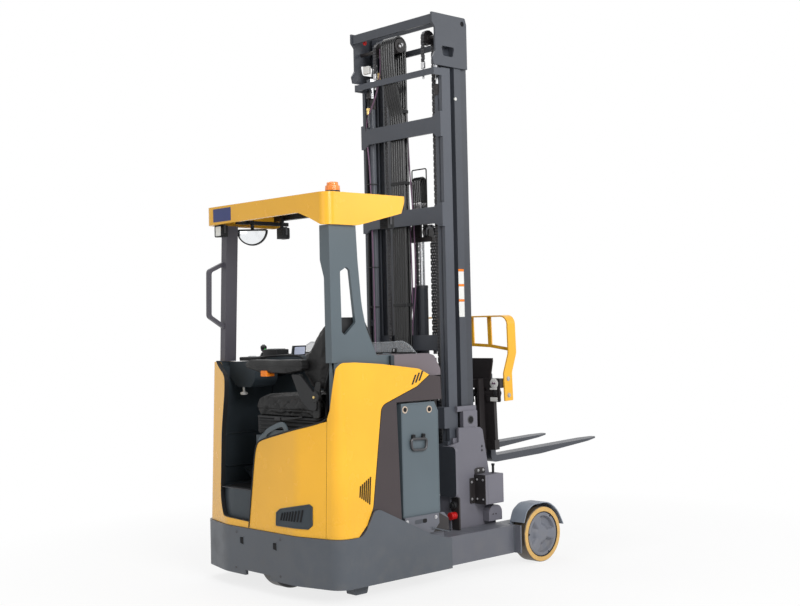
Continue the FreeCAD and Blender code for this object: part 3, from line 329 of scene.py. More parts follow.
def make_finishes():
    """Every finish of the truck, by name."""
    tones = bpy.context.scene.truck_colours
    yellow, chassis, pillar = tuple(tones.yellow), tuple(tones.chassis), tuple(tones.pillar)
    mast, brown, black = tuple(tones.mast), tuple(tones.brown), tuple(tones.black)
    FINISHES.update(
        yellow=painted("BodyPaint", yellow, 0.26, 0.25, 0.05, 0.04),
        guard=painted("GuardPaint", shade(yellow, 0.95), 0.3, 0.25, 0.1, 0.05),
        chassis=painted("ChassisPaint", chassis, peel=0.25),
        pillar=painted("PillarPaint", shade(pillar, 0.80), 0.36, 0.1, 0.15, 0.1),
        # post: a darker, browner copy of the pillar paint, painted shade on the left pillar.
        post=painted("PillarPaintInShade", linear(80, 78, 86), peel=0.15),
        battery=painted("BatteryPaint", shade(pillar, 0.92), peel=0.2),
        mast=painted("MastPaint", mast, 0.42, 0.05, 0.45, 0.2, 0.15),
        # leg: a lighter copy of the chassis paint, painted light on the side-facing legs and brackets.
        leg=painted("LitChassisPaint", linear(98, 100, 108), peel=0.25),
        # inner and rail: darker copies of the mast paint, painted shade on the inset middle and inner
        # sections, the lift carriage and the rear plate's faces.
        inner=painted("MastPaintInShade", shade(mast, 0.78), 0.42, 0.05, 0.45, 0.2, 0.15),
        rail=painted("MastPaintInDeepShade", shade(mast, 0.66), 0.4, 0.05, 0.45, 0.2, 0.2),
        carriage=painted("CarriagePaint", linear(112, 111, 120), 0.42, 0.05, 0.3, 0.08),
        wing=painted("MudguardPaint", linear(130, 138, 150), dust=0.15),
        hood=painted("HoodPaint", linear(112, 104, 109), 0.4, 0.05, 0.4, 0.15),
        fork_grey=painted("ForkSteelPaint", linear(68, 71, 78), 0.4, 0.05, 0.3, 0.1, 0.1),
        brown=painted("CoverPaint", brown, 0.38, 0.1, 0.3, 0.2),
        fork=painted("ForkPaint", linear(44, 41, 42), 0.4, 0.05, 0.4, 0.2, 0.1),
        lining=moulded("LiningPlastic", tuple(tones.lining), 0.5, 0.002),
        black=moulded("TrimPlastic", black, 0.5),
        rubber=moulded("Rubber", shade(black, 0.8), 0.65, 0.0025, 0.0004),
        hose=painted("HoseRubber", shade(black, 0.8), 0.34, 0.2, 0.02, 0.0),
        leather=hide("SeatCover", tuple(tones.leather)),
        tread=ring_rubber("CastRing", tuple(tones.tread), wheel_axle("load_tyre_left"), 0.172),
        drive_tread=ring_rubber("DriveRing", shade(black, 1.4), wheel_axle("drive_tyre"), 0.172),
        hub=painted("HubPaint", linear(112, 115, 124), 0.45, 0.0, 0.6, 0.3),
        chrome=machined("Chrome", (0.72, 0.73, 0.75), 0.12, (6, 6, 1)),
        steel=machined("ZincSteel", (0.55, 0.55, 0.56), 0.35, (3, 3, 3)),
        dark_steel=machined("DarkSteel", (0.09, 0.09, 0.095), 0.42, (3, 3, 3), 0.8),
        brass=machined("Brass", (0.75, 0.55, 0.22), 0.3, (3, 3, 3)),
        amber=glowing("AmberLens", tuple(tones.beacon), 0.15),
        orange=moulded("OrangeMark", linear(245, 130, 30), 0.4),
        red=moulded("RedKnob", linear(190, 25, 25), 0.35),
        blue=moulded("BluePlate", linear(52, 62, 112), 0.4, 0.004, 0.0001),
        white=moulded("WhitePlastic", linear(225, 225, 222), 0.4),
        grey=moulded("GreyPlastic", linear(150, 152, 155), 0.4),
        screen=tinted_clear("TintedSheet", linear(200, 205, 210), 0.34),
        ring=moulded("PaleRing", linear(196, 178, 160), 0.4, 0.003, 0.0001),
        clear=tinted_clear("ClearSheet", linear(205, 212, 216), 0.28),
        mirror=machined("MirrorGlass", (0.86, 0.88, 0.9), 0.03, (1, 1, 1)),
        display=glowing("Display", linear(196, 204, 226), 0.3),
        # void: near-black that paints the shade in holes, slots, seams and notches; small screw heads on
        # the load wheels and the head pins are drawn in it too.
        void=moulded("GapShadeBlack", (0.006, 0.006, 0.007), 0.85, 0.004, 0.0001),
        green=glowing("GreenLamp", linear(60, 210, 90), 0.6),
        lamp_glass=glowing("LampGlass", linear(228, 230, 226), 0.12),
        mauve=moulded("MauveHose", linear(112, 84, 108), 0.45, 0.003, 0.0001),
    )


def box_places(node):
    """Lowest corner, highest corner and middle of a node's box, as arrays."""
    low, high = (np.array(corner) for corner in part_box(node))
    return low, high, (low + high) / 2


# ---- surfaces
def grid_faces(rows, columns, close_rows=False, close_columns=False):
    """Quads of a grid of rows by columns points, as indices."""
    i = np.arange(rows if close_rows else rows - 1)
    j = np.arange(columns if close_columns else columns - 1)
    i, j = [a.ravel() for a in np.meshgrid(i, j, indexing="ij")]
    k, m = (i + 1) % rows, (j + 1) % columns
    return np.stack([i * columns + j, k * columns + j, k * columns + m, i * columns + m], 1)


def turn(count):
    """Angles of a whole turn in equal steps."""
    return np.linspace(0, 2 * PI, count, endpoint=False)


def loft(rings, capped=True, closed=False):
    """Skin over rings of points, an array (rings, points, 3): point (u, v) is ring u's point v.

    Flat caps close the first and the last ring; a closed loft joins the last ring to the first.
    """
    rings = np.asarray(rings, float)
    rows, columns = rings.shape[:2]
    faces = grid_faces(rows, columns, closed, True).tolist()
    if capped and (not closed):
        faces.append(list(range(columns))[::-1])
        faces.append([(rows - 1) * columns + j for j in range(columns)])
    return rings.reshape(-1, 3), faces


def turned(profile, centre, axis="Z", count=32, capped=True):
    """A profile of (radius, height) points turned about an axis through centre.

    A bare height is a point on the axis. Heights run backwards along an axis with a minus sign.
    """
    profile = np.array([(POLE, point) if np.isscalar(point) else point for point in profile])
    if axis[0] == "-":
        profile[:, 1] *= -1
    angle = turn(count)
    radius, height = profile[:, :1], np.repeat(profile[:, 1:], count, 1)
    flat = [radius * np.cos(angle), radius * np.sin(angle)]
    order = {"X": (height, *flat), "Y": (flat[1], height, flat[0]), "Z": (*flat, height)}[axis[-1]]
    return loft(np.stack(order, 2) + np.array(centre, float), capped)


def rod(radius, low, high, centre, axis="Z", count=24):
    """A plain round bar between two heights along an axis through centre."""
    return turned([low, (radius, low), (radius, high), high], centre, axis, count)


def sheet(grid):
    """An open surface through a grid of places."""
    return grid.reshape(-1, 3), grid_faces(*grid.shape[:2]).tolist()


def tube(path, radius, count=10, closed=False):
    """A round section carried along a path: path(u) + radius * (cos v * side + sin v * up)."""
    path = np.asarray(path, float)
    ahead = np.gradient(path, axis=0)
    if closed:
        ahead = np.roll(path, -1, 0) - np.roll(path, 1, 0)
    ahead /= np.linalg.norm(ahead, axis=1, keepdims=True)
    guide = np.eye(3)[np.argmin(np.abs(ahead).sum(0))]
    side = np.cross(ahead, guide)
    side /= np.linalg.norm(side, axis=1, keepdims=True)
    up = np.cross(side, ahead)
    angle = turn(count)[None, :, None]
    rings = path[:, None] + radius * (np.cos(angle) * side[:, None] + np.sin(angle) * up[:, None])
    return loft(rings, closed=closed)


def flat_bar(path, x, thick, wide):
    """A flat bar bent on edge: path(u) plus or minus half its width along the path's normal."""
    ahead = np.gradient(path, axis=0)
    away = np.column_stack([-ahead[:, 1], ahead[:, 0]]) / np.linalg.norm(ahead, axis=1)[:, None]
    corners = ((-1, -1), (1, -1), (1, 1), (-1, 1))
    return loft(np.stack([np.column_stack([np.full(len(path), x + a * thick / 2),
        path + b * wide / 2 * away]) for a, b in corners], 1))


def curve_through(points, count=40):
    """A smooth path through corner points: a quadratic B-spline with its ends held."""
    points = np.asarray(points, float)
    points = np.vstack([points[:1], points, points[-1:]])
    spans = len(points) - 2
    t = np.linspace(0, spans, count)
    i = np.minimum(t.astype(int), spans - 1)
    f = (t - i)[:, None]
    return 0.5 * (1 - f) ** 2 * points[i] + (0.5 + f * (1 - f)) * points[i + 1] + 0.5 * f ** 2 * points[i
        + 2]


def rounded(corners, radius=0.01, steps=4):
    """A closed outline of (u, v) corners, each rounded by an arc-like quadratic of this size."""
    corners = np.asarray(corners, float)
    before, after = np.roll(corners, 1, 0), np.roll(corners, -1, 0)
    back = before - corners
    on = after - corners
    back_length = np.linalg.norm(back, axis=1, keepdims=True)
    on_length = np.linalg.norm(on, axis=1, keepdims=True)
    start = corners + back / back_length * np.minimum(radius, back_length * 0.49)
    end = corners + on / on_length * np.minimum(radius, on_length * 0.49)
    t = np.linspace(0, 1, steps)[None, :, None]
    curve = (1 - t) ** 2 * start[:, None] + 2 * t * (1 - t) * corners[:, None] + t ** 2 * end[:, None]
    return curve.reshape(-1, 2)


def inset(outline, distance):
    """An outline moved inwards by a distance, along the mean of its sides' normals."""
    ahead = np.roll(outline, -1, 0) - np.roll(outline, 1, 0)
    ahead /= np.maximum(np.linalg.norm(ahead, axis=1, keepdims=True), 1e-09)
    normal = np.stack([-ahead[:, 1], ahead[:, 0]], 1)
    area = np.sum(outline[:, 0] * np.roll(outline[:, 1], -1) - outline[:, 1] * np.roll(outline[:, 0], -1))
    return outline + normal * distance * np.sign(area)


def lifted(shape, level, axis="X"):
    """The (u, v) points of an outline as places at a level on an axis."""
    ones = np.full(len(shape), level)
    u, v = np.asarray(shape, float).T
    return np.stack({"X": (ones, u, v), "Y": (u, ones, v), "Z": (u, v, ones)}[axis], 1)


def plate(outline, low, high, axis="X", edge=0.002):
    """A flat plate with eased edges between two levels on an axis, from a (u, v) outline.

    The outline is in (Y, Z) for axis X, (X, Z) for axis Y and (X, Y) for axis Z.
    """
    outline = np.asarray(outline, float)
    edge = min(edge, abs(high - low) / 3)
    inner = inset(outline, edge)
    levels = [(inner, low), (outline, low + edge), (outline, high - edge), (inner, high)]
    return loft([lifted(shape, level, axis) for shape, level in levels])


def rectangle(u, v, radius=0.01, steps=4):
    """A rounded rectangle between pairs of u and v values."""
    return rounded([(u[0], v[0]), (u[1], v[0]), (u[1], v[1]), (u[0], v[1])], radius, steps)


def slab(u, v, radius, low, high, axis="X", edge=0.002):
    """A rounded rectangle's flat plate."""
    return plate(rectangle(u, v, radius), low, high, axis, edge)


def bolt_head(centre, axis, width=None):
    """A bolt head on a washer: rings of radius r at height h along the axis."""
    width = width or bpy.context.scene.truck_sizes.bolt
    height = width * 0.42
    washer = [0, (width * 0.68, 0), (width * 0.68, height * 0.22), height * 0.22]
    head = [height * 0.2, (width * 0.5, height * 0.2), (width * 0.5, height * 0.85), (width * 0.42,
        height), (width * 0.2, height), (width * 0.17, height * 0.7), height * 0.7]
    return together([turned(washer, centre, axis, 16), turned(head, centre, axis, 6)])


def together(parts):
    """Several surfaces in a list as one; a single surface stays as it is."""
    if isinstance(parts, tuple):
        return parts
    points, faces, start = [], [], 0
    for part_points, part_faces in parts:
        points.append(part_points)
        faces.extend([[index + start for index in face] for face in part_faces])
        start += len(part_points)
    return np.vstack(points), faces


def copies(part, offsets):
    """A surface repeated at each offset."""
    points, faces = part
    offsets = np.asarray(offsets, float)
    moved = (points[None] + offsets[:, None]).reshape(-1, 3)
    count = len(points)
    return (moved, [[index + k * count for index in face] for k in range(len(offsets)) for face in faces])


def mirrored(part):
    """A surface or a list of them, and the mirror image on the other side of the truck."""
    points, faces = together(part)
    return together([(points, faces), (points * (1, -1, 1), [face[::-1] for face in faces])])


def bent(part, function):
    """A surface whose points are moved by a function of their places."""
    points, faces = together(part)
    return function(points), faces


def cleaned(mesh, distance):
    """A mesh with its doubles merged and its faces turned outwards."""
    tool = bmesh.new()
    tool.from_mesh(mesh)
    bmesh.ops.remove_doubles(tool, verts=tool.verts, dist=distance)
    bmesh.ops.recalc_face_normals(tool, faces=tool.faces)
    tool.to_mesh(mesh)
    tool.free()
    return mesh


def placed(name, data):
    """A new object in the scene."""
    made = bpy.data.objects.new(name, data)
    bpy.context.scene.collection.objects.link(made)
    return made


def piece(name, part, finish, body="truck", sharp=35, recalc=True):
    """Put a surface into a mesh object that rides on a body."""
    points, faces = together(part)
    mesh = bpy.data.meshes.new(name)
    mesh.from_pydata(np.asarray(points).tolist(), [], faces)
    mesh.validate()
    if recalc:
        cleaned(mesh, 1e-06)
    mesh.polygons.foreach_set("use_smooth", [True] * len(mesh.polygons))
    mesh.set_sharp_from_angle(angle=math.radians(sharp))
    made = placed(name, mesh)
    mesh.materials.append(FINISHES[finish])
    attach(made, body)
    return made


def tilted(points):
    """Places in the fork frame's own axes, turned up about the tilt pin as the forks rest."""
    points = np.asarray(points, float)
    angle, pin_x, pin_z = math.radians(2), 0.14, 0.7
    x, y, z = points[..., 0], points[..., 1], points[..., 2]
    return np.stack([pin_x + x * math.cos(angle) - z * math.sin(angle), y, pin_z + x * math.sin(angle) + z
        * math.cos(angle)], -1)


# ---- stage and finishes
class TRUCK_OT_stage(bpy.types.Operator):
    """Add the pale floor, the soft lights, the white surroundings and the camera"""
    bl_idname = "truck.stage"
    bl_label = "Stage"

    def execute(self, context):
        mesh = bpy.data.meshes.new("Floor")
        corners = [(x * FLOOR_HALF, y * FLOOR_HALF, 0) for x, y in ((-1, -1), (1, -1), (1, 1), (-1, 1))]
        mesh.from_pydata(corners, [], [[0, 1, 2, 3]])
        floor = placed("Floor", mesh)
        mesh.materials.append(self.floor_finish())
        self.surroundings(context)
        self.lamp("Key", (-3.0, -8.5, 5.0), (-0.2, 0, 1.4), 4.0, 520)
        self.lamp("Rear", (-7.5, -1.0, 4.0), (-0.8, 0, 1.0), 4.0, 45)
        self.lamp("Fill", (4.0, -6.0, 4.5), (0.0, 0, 1.5), 4.0, 90)
        self.lamp("Top", (0.0, 3.0, 8.0), (-0.3, 0, 1.0), 5.0, 260)
        self.camera(context)
        return {"FINISHED"}

    def floor_finish(self):
        """White floor that keeps the truck's shadow: diffuse white mixed with plain white."""
        finish = Finish("FloorWhite", (0.9, 0.9, 0.9), 0.9)
        tree = finish.tree
        rays = tree.nodes.new("ShaderNodeLightPath")
        seen, glossy, through = (Value(finish, rays.outputs[ray]) for ray in WHITE_RAYS)
        seen = (seen + glossy + through).clamp()
        white = finish.add("ShaderNodeEmission", {}, {"Color": (1, 1, 1, 1), "Strength": 1.0})
        across, along, _ = finish.axes()
        far = ((across * across + along * along) * 0.12 - 0.3).clamp()
        shown = finish.add("ShaderNodeMixShader", {}, {0: seen * (far * 0.2 + 0.8), 1: Value(finish,
            finish.shader.outputs[0]), 2: white})
        tree.links.new(shown.socket, tree.nodes["Material Output"].inputs["Surface"])
        return finish.material

    def surroundings(self, context):
        """A white world for what is seen, and an even grey-white light for the truck."""
        world = bpy.data.worlds.new("Studio")
        context.scene.world = world
        world.use_nodes = True
        tree = world.node_tree
        rays = tree.nodes.new("ShaderNodeLightPath")
        strongest = rays.outputs[WHITE_RAYS[0]]
        for ray in WHITE_RAYS[1:]:
            either = tree.nodes.new("ShaderNodeMath")
            either.operation = "MAXIMUM"
            tree.links.new(strongest, either.inputs[0])
            tree.links.new(rays.outputs[ray], either.inputs[1])
            strongest = either.outputs[0]
        backgrounds = []
        for strength in (0.36, 1.0):
            background = tree.nodes.new("ShaderNodeBackground")
            background.inputs["Color"].default_value = (1, 1, 1, 1)
            background.inputs["Strength"].default_value = strength
            backgrounds.append(background)
        mix = tree.nodes.new("ShaderNodeMixShader")
        tree.links.new(strongest, mix.inputs[0])
        tree.links.new(backgrounds[0].outputs[0], mix.inputs[1])
        tree.links.new(backgrounds[1].outputs[0], mix.inputs[2])
        tree.links.new(mix.outputs[0], tree.nodes["World Output"].inputs["Surface"])

    def lamp(self, name, place, target, size, power):
        """A square soft lamp that faces a point."""
        light = bpy.data.lights.new(name, "AREA")
        light.size = size
        light.energy = power
        lamp = placed(name, light)
        lamp.location = place
        lamp.rotation_euler = (Vector(target) - Vector(place)).to_track_quat("-Z", "Y").to_euler()

    def camera(self, context):
        """The camera, behind the truck on its right, at eye height."""
        yaw, pitch, roll = (math.radians(a) for a in (46.915, 1.042, -1.272))
        ahead = Vector((math.cos(pitch) * math.cos(yaw), math.cos(pitch) * math.sin(yaw),
            math.sin(pitch)))
        level = ahead.cross(Vector((0, 0, 1))).normalized()
        rise = level.cross(ahead)
        right = math.cos(roll) * level + math.sin(roll) * rise
        up = math.cos(roll) * rise - math.sin(roll) * level
        camera = placed("Camera", bpy.data.cameras.new("Camera"))
        camera.data.sensor_fit = "HORIZONTAL"
        camera.data.sensor_width = 36
        camera.data.lens = 55.205
        camera.matrix_world = Matrix((right, up, -ahead)).transposed().to_4x4()
        camera.location = (-5.571, -5.689, 1.501)
        context.scene.camera = camera


FINISH_OF_NODE = {
    "yellow": ("rear_panel", "flank_right", "flank_left", "roof_rim"),
    "guard": ("load_backrest",),
    "chassis": ("chassis_skirt",),
    # The legs take the lighter copy of the chassis paint: painted light.
    "leg": ("straddle_legs",),
    "wing": ("mudguards",),
    "carriage": ("carriage_frame",),
    "pillar": ("pillar_right",),
    # The left pillar takes the darker copy of the pillar paint: painted shade.
    "post": ("pillar_left",),
    "battery": ("battery",),
    "hood": ("battery_hood",),
    "fork_grey": ("forks",),
    "brown": ("battery_covers",),
    "mast": ("mast_outer",),
    # The middle and inner sections and the lift carriage take darker copies of the mast paint: painted
    # shade.
    "inner": ("mast_middle",),
    "rail": ("mast_inner", "lift_carriage"),
    "fork": ("tilt_frame", "fork_frame"),
    "lining": ("left_console", "bulkhead", "cab_floor", "hand_console"),
    "black": ("seat_base", "roof_bars", "work_lamps", "steering_wheel", "mirror"),
    "leather": ("seat_cushion", "seat_back", "armrest"),
    "tread": ("load_tyre_right", "load_tyre_left"),
    "drive_tread": ("drive_tyre",),
    "hub": ("load_hub_right", "load_hub_left", "drive_unit"),
    "dark_steel": ("mast_chains",),
    "hose": ("mast_hoses",),
    "chrome": ("lift_rods", "free_lift_rod"),
    "amber": ("beacon",),
    "screen": ("clear_screen",),
}


class TRUCK_OT_finishes(bpy.types.Operator):
    """Make the finishes and put them on the frame's own nodes"""
    bl_idname = "truck.finishes"
    bl_label = "Finishes"

    def execute(self, context):
        make_finishes()
        for finish, names in FINISH_OF_NODE.items():
            for name in names:
                for slot in NODES[name].material_slots:
                    slot.material = FINISHES[finish]
        return {"FINISHED"}


# ---- seat
def apply_modifiers(made):
    """Bake the modifiers into the mesh."""
    bpy.context.view_layer.update()
    shape = made.evaluated_get(bpy.context.evaluated_depsgraph_get())
    baked = bpy.data.meshes.new_from_object(shape)
    made.modifiers.clear()
    made.data = baked


def vertex_values(values, name):
    """Three values of each vertex as an array: its place or its normal."""
    found = np.empty(len(values) * 3, np.float32)
    values.foreach_get(name, found)
    return found.reshape(-1, 3).astype(float)


def vertex_places(mesh):
    """The places of a mesh's vertices."""
    return vertex_values(mesh.vertices, "co")


def vertex_normals(mesh):
    """The normals of a mesh's vertices."""
    return vertex_values(mesh.vertex_normals, "vector")


def upholstered(name, node, finish, voxel, shrink, seams):
    """Foam under a cover: the node's solid, shrunk, blown up by cloth pressure and then stitched.

    seams is a function of the places that gives how deep the cover is drawn in at each.
    """
    made = placed(name, cleaned(NODES[node].data.copy(), 1e-05))
    remesh = made.modifiers.new("Even", "REMESH")
    remesh.mode = "VOXEL"
    remesh.voxel_size = voxel
    apply_modifiers(made)
    smooth = made.modifiers.new("Ease", "SMOOTH")
    smooth.factor, smooth.iterations = 0.6, 8
    apply_modifiers(made)
    start = vertex_places(made.data) - shrink * vertex_normals(made.data)
    made.data.vertices.foreach_set("co", start.ravel())
    blow_up(made, start)
    finer = made.modifiers.new("Finer", "SUBSURF")
    finer.levels = finer.render_levels = 1
    apply_modifiers(made)
    places = vertex_places(made.data)
    drawn = places - seams(places)[:, None] * vertex_normals(made.data)
    low, high = (np.array(corner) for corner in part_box(node))
    margin = 0.006
    drawn = np.clip(drawn, low - margin, high + margin)
    made.data.vertices.foreach_set("co", drawn.ravel())
    made.data.polygons.foreach_set("use_smooth", [True] * len(made.data.polygons))
    made.data.materials.clear()
    made.data.materials.append(FINISHES[finish])
    made.data.update()
    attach(made, "truck")
    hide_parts(node)
    return made


def blow_up(made, start):
    """Let pressure fill the cover for 20 frames, and hold each point near where it began."""
    swell = bpy.context.scene.truck_sizes.seat_swell
    cloth = made.modifiers.new("Cover", "CLOTH")
    settings = cloth.settings
    settings.quality = 6
    settings.mass = 0.3
    settings.use_pressure = True
    settings.uniform_pressure_force = 4
    settings.tension_stiffness = settings.compression_stiffness = 25
    settings.bending_stiffness = 3
    settings.effector_weights.gravity = 0
    last = 20
    cloth.point_cache.frame_start, cloth.point_cache.frame_end = 1, last
    for frame_number in range(1, last + 1):
        bpy.context.scene.frame_set(frame_number)
    shape = made.evaluated_get(bpy.context.evaluated_depsgraph_get()).to_mesh()
    moved = vertex_places(shape) - start
    length = np.linalg.norm(moved, axis=1, keepdims=True)
    held = start + moved * np.minimum(1, swell / np.maximum(length, 1e-09))
    made.modifiers.clear()
    made.data.vertices.foreach_set("co", held.ravel())
    made.data.update()
    bpy.context.scene.frame_set(1)


def groove(distance, width=0.004, depth=0.006):
    """How deep a seam draws the cover in, at a distance from its line."""
    return depth * np.exp(-(distance / width) ** 2)


def cushion_seams(places):
    """Two long seams beside the sitting panel, three across it and a welt round its top."""
    low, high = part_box("seat_cushion")
    away = np.abs(places[:, 0] - (low.x + high.x) / 2)
    y, z = places[:, 1:].T
    half_panel, top = 0.128, 1.03
    panel = (away < half_panel) & (z > top)
    long_seams = groove(away - half_panel) * (z > top)
    cross = (groove(y - 0.02) + groove(y + 0.12) + groove(y + 0.26)) * panel
    welt = groove(z - 1.035, 0.003, 0.005)
    return np.maximum(np.maximum(long_seams, cross), welt)


def back_seams(places):
    """A seam down each side of the back, two across it and one round its edge."""
    low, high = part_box("seat_back")
    away = np.abs(places[:, 0] - (low.x + high.x) / 2)
    y, z = places[:, 1:].T
    half_panel, half_back = 0.105, 0.155
    front = y > -0.4 - (z - 1.16) * 0.18
    side = groove(away - half_panel) * front
    cross = (groove(z - 1.27) + groove(z - 1.4)) * (away < half_panel) * front
    edge = groove(away - half_back, 0.003, 0.005)
    return np.maximum(np.maximum(side, cross), edge)


def rest_seams(places):
    """One seam along the armrest's side."""
    return groove(places[:, 2] - 1.283, 0.0025, 0.0035)


class TRUCK_OT_seat(bpy.types.Operator):
    """Add the seat's foam and covers, the folded bellows under it and its levers"""
    bl_idname = "truck.seat"
    bl_label = "Seat"

    def execute(self, context):
        upholstered("SeatCushion", "seat_cushion", "leather", 0.006, 0.007, cushion_seams)
        upholstered("SeatBack", "seat_back", "leather", 0.006, 0.007, back_seams)
        upholstered("Armrest", "armrest", "leather", 0.006, 0.003, rest_seams)
        self.bellows()
        self.shell()
        self.levers()
        return {"FINISHED"}

    def bellows(self):
        """Rounded rectangles that step in and out up the seat's base."""
        folds = bpy.context.scene.truck_sizes.bellows_folds
        low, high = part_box("seat_base")
        x, y, z = (low.x - 0.001, high.x + 0.001), (-0.42, 0.13), (0.89, 0.984)
        heights = np.linspace(*z, folds * 8 + 1)
        swing = 0.004 - 0.004 * np.cos(np.linspace(0, folds * 2 * PI, len(heights)))
        outline = rectangle(x, y, 0.03, 6)
        piece("SeatBellows", loft([lifted(inset(outline, -out), height, "Z")
            for height, out in zip(heights, swing)]), "rubber", sharp=60)
        piece("SeatPan", slab((x[0] - 0.008, x[1] + 0.008), (y[0] - 0.006, y[1] + 0.01), 0.03, 0.982,
            0.996, "Z", 0.004), "black")

    def shell(self):
        """The moulded shell behind the back: a bowed panel with a rolled rim."""
        low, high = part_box("seat_back")
        middle, half = (low.x + high.x) / 2, 0.168
        u, v = np.meshgrid(np.linspace(-1, 1, 19), np.linspace(0, 1, 25), indexing="ij")
        x = middle + half * u - 0.045 * v ** 2 - half * u * 0.42 * v ** 2.5
        z = 1.15 + 0.395 * v
        lean = -0.452 - 0.062 * np.clip((z - 1.15) / 0.15, 0, 1) - 0.012 * np.clip((z - 1.3) / 0.2, 0, 1)
        y = lean - 0.012 * (1 - u ** 4) * np.sin(PI * np.clip(v, 0.02, 0.98)) ** 0.5
        front = np.stack([x, y + 0.012, z], 2)
        back = np.stack([x, y, z], 2)
        points, faces = sheet(front)
        piece("SeatShell", [sheet(back), (points, [face[::-1] for face in faces])], "black", recalc=False)
        rim = np.vstack([back[0], back[1:-1, -1], back[-1, ::-1], back[-2:0:-1, 0]])
        piece("SeatShellRim", tube(rim + (0, 0.006, 0), 0.007, 8, closed=True), "black")

    def levers(self):
        """Recliner hub with its arm and brass screw, and the lever by the cushion."""
        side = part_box("seat_base")[0].x - 0.012
        hub = turned([-0.016, (0.026, -0.016), (0.034, -0.01), (0.034, 0.012), 0.012], (side, -0.425,
            1.115), "X", 28)
        arm = plate(rounded([(-0.455, 1.0), (-0.4, 0.995), (-0.395, 1.12), (-0.43, 1.2), (-0.47, 1.2),
            (-0.452, 1.11)], 0.015), side - 0.004, side + 0.008)
        piece("SeatRecliner", [hub, arm], "leather")
        piece("SeatReclinerScrew", turned([-0.021, (0.007, -0.02), (0.008, -0.015), -0.015],
            (side, -0.425, 1.115), "X", 16), "brass")
        path = curve_through([(side, -0.3, 1.0), (side - 0.03, -0.26, 0.992), (side - 0.035, -0.16,
            0.985), (side - 0.035, -0.1, 0.985)], 16)
        piece("SeatLever", [tube(path, 0.006), tube(path[-6:], 0.011, 12)], "black")


# ---- wheels
def spoked_face(radius, offset, sign, centre):
    """A wheel's cover: height over a disc of (r, t) with a hub, a rim and three raised arms.

    Raised share = max of hub exp(-(r/0.44)**8), rim step and arm exp(-(d/w)**6), with d the distance
    from the arm's line and w its half width; the height is offset - depth * (1 - raised).
    """
    r = np.concatenate([[0.0003], np.linspace(0.004, radius, 40)])[:, None]
    t = turn(144)[None]
    share = r / radius
    raised = np.maximum(np.exp(-(share / 0.44) ** 8), np.clip((share - 0.76) / 0.06, 0, 1))
    for arm in np.radians((114, 234, 354)):
        lateral = share * np.sin(t - arm)
        wide = 0.19 + 0.16 * share ** 2
        raised = np.maximum(raised, np.exp(-(lateral / wide) ** 6) * (np.cos(t - arm) > 0))
    lip = 0.006 * np.exp(-((share - 1) / 0.04) ** 2)
    y = offset - 0.024 * (1 - raised) - 0.004 * (1 - share ** 2) - lip
    rings = np.stack(np.broadcast_arrays(r * np.cos(t) + centre[0], centre[1] + sign * y,
        r * np.sin(t) + centre[2]), 2)
    return loft(rings[:, ::-1] if sign > 0 else rings, capped=False)


class TRUCK_OT_wheels(bpy.types.Operator):
    """Add the load wheels' covers, rings and screws, and the drive wheel's hub"""
    bl_idname = "truck.wheels"
    bl_label = "Wheels"

    def execute(self, context):
        self.cover("right", -1, "-Y")
        self.cover("left", 1, "Y")
        self.drive_wheel()
        return {"FINISHED"}

    def cover(self, side, sign, axis):
        """Spoked cover, its ring and three screws, turning with the wheel."""
        low, high, centre = box_places(f"load_tyre_{side}")
        half = (high - low)[1] / 2
        body = f"load_wheel_{side}"
        radius = 0.139
        face = spoked_face(radius, half - 0.001, sign, centre)
        drum = [-half + 0.01, (0.06, -half + 0.01), (0.066, -half + 0.003), (radius, -half + 0.006),
            (radius, half - 0.036), half - 0.042]
        made = piece(f"LoadWheelCover_{side}", [face, turned(drum, centre, axis, 72)], "hub", body,
            sharp=60)
        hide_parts(f"load_hub_{side}")
        # The ring is the cover's lip; its dark rubber also paints the shaded line between the tyre and
        # the cover.
        piece(f"LoadWheelRing_{side}", turned([(0.14, half - 0.01), (0.14, half - 0.001),
            (0.1385, half + 0.0003), (0.1355, half - 0.001), (0.1345, half - 0.008),
            (0.1345, half - 0.01)], centre, axis, 72, False), "rubber", body)
        screws = []
        for angle in np.radians((55, 175, 295)):
            spot = centre + (0.128 * math.cos(angle), sign * (half - 0.005), 0.128 * math.sin(angle))
            screws.append(turned([0, (0.006, 0), (0.006, 0.004), 0.0045], spot, axis, 12))
        # The screw heads are drawn in the near-black gap shade: painted shade at the screws.
        piece(f"LoadWheelScrews_{side}", screws, "void", body)

    def drive_wheel(self):
        """Hub with bolts on the drive wheel's open side."""
        low, high, centre = box_places("drive_tyre")
        half = (high - low)[1] / 2
        face = [(POLE, 0.004), (0.05, 0.004), (0.06, -0.006), (0.115, -0.004), (0.118, 0.001),
            (0.122, 0.001), (0.122, -0.02), (POLE, -0.02)]
        disc = turned([(r, -half - h) for r, h in face], centre, "Y", 48)
        circle, count = 0.085, 7
        bolts = [bolt_head(centre + (circle * math.cos(a), -half - 0.003, circle * math.sin(a)), "-Y")
            for a in np.arange(count) * 2 * PI / count]
        piece("DriveWheelHub", disc, "hub", "drive_wheel")
        piece("DriveWheelBolts", bolts, "dark_steel", "drive_wheel")


# ---- body panels
def rear_skin(y, z):
    """X of the body's rear wall at (y, z): flat, then an arc, then a slope, leaning in upwards."""
    s = np.abs(y)
    radius, flat_end, arc_end = 0.29, 0.2937, 0.3652
    arc = radius - np.sqrt(np.maximum(radius ** 2 - np.clip(s - flat_end, 0, 0.0715) ** 2, 0))
    offset = np.where(s < flat_end, 0, np.where(s < arc_end, arc, (s - 0.33) * 0.2542))
    return -1.38 + (z - WALL_FOOT) * WALL_LEAN + offset


def on_rear(path, shift):
    """Places on the rear wall along a path of (y, z) points, shifted along X."""
    return np.column_stack([rear_skin(*path.T) + shift, path])


def side_skin(z):
    """Distance of the body's side wall from the middle at this height."""
    return 0.625 - (z - WALL_FOOT) * WALL_LEAN


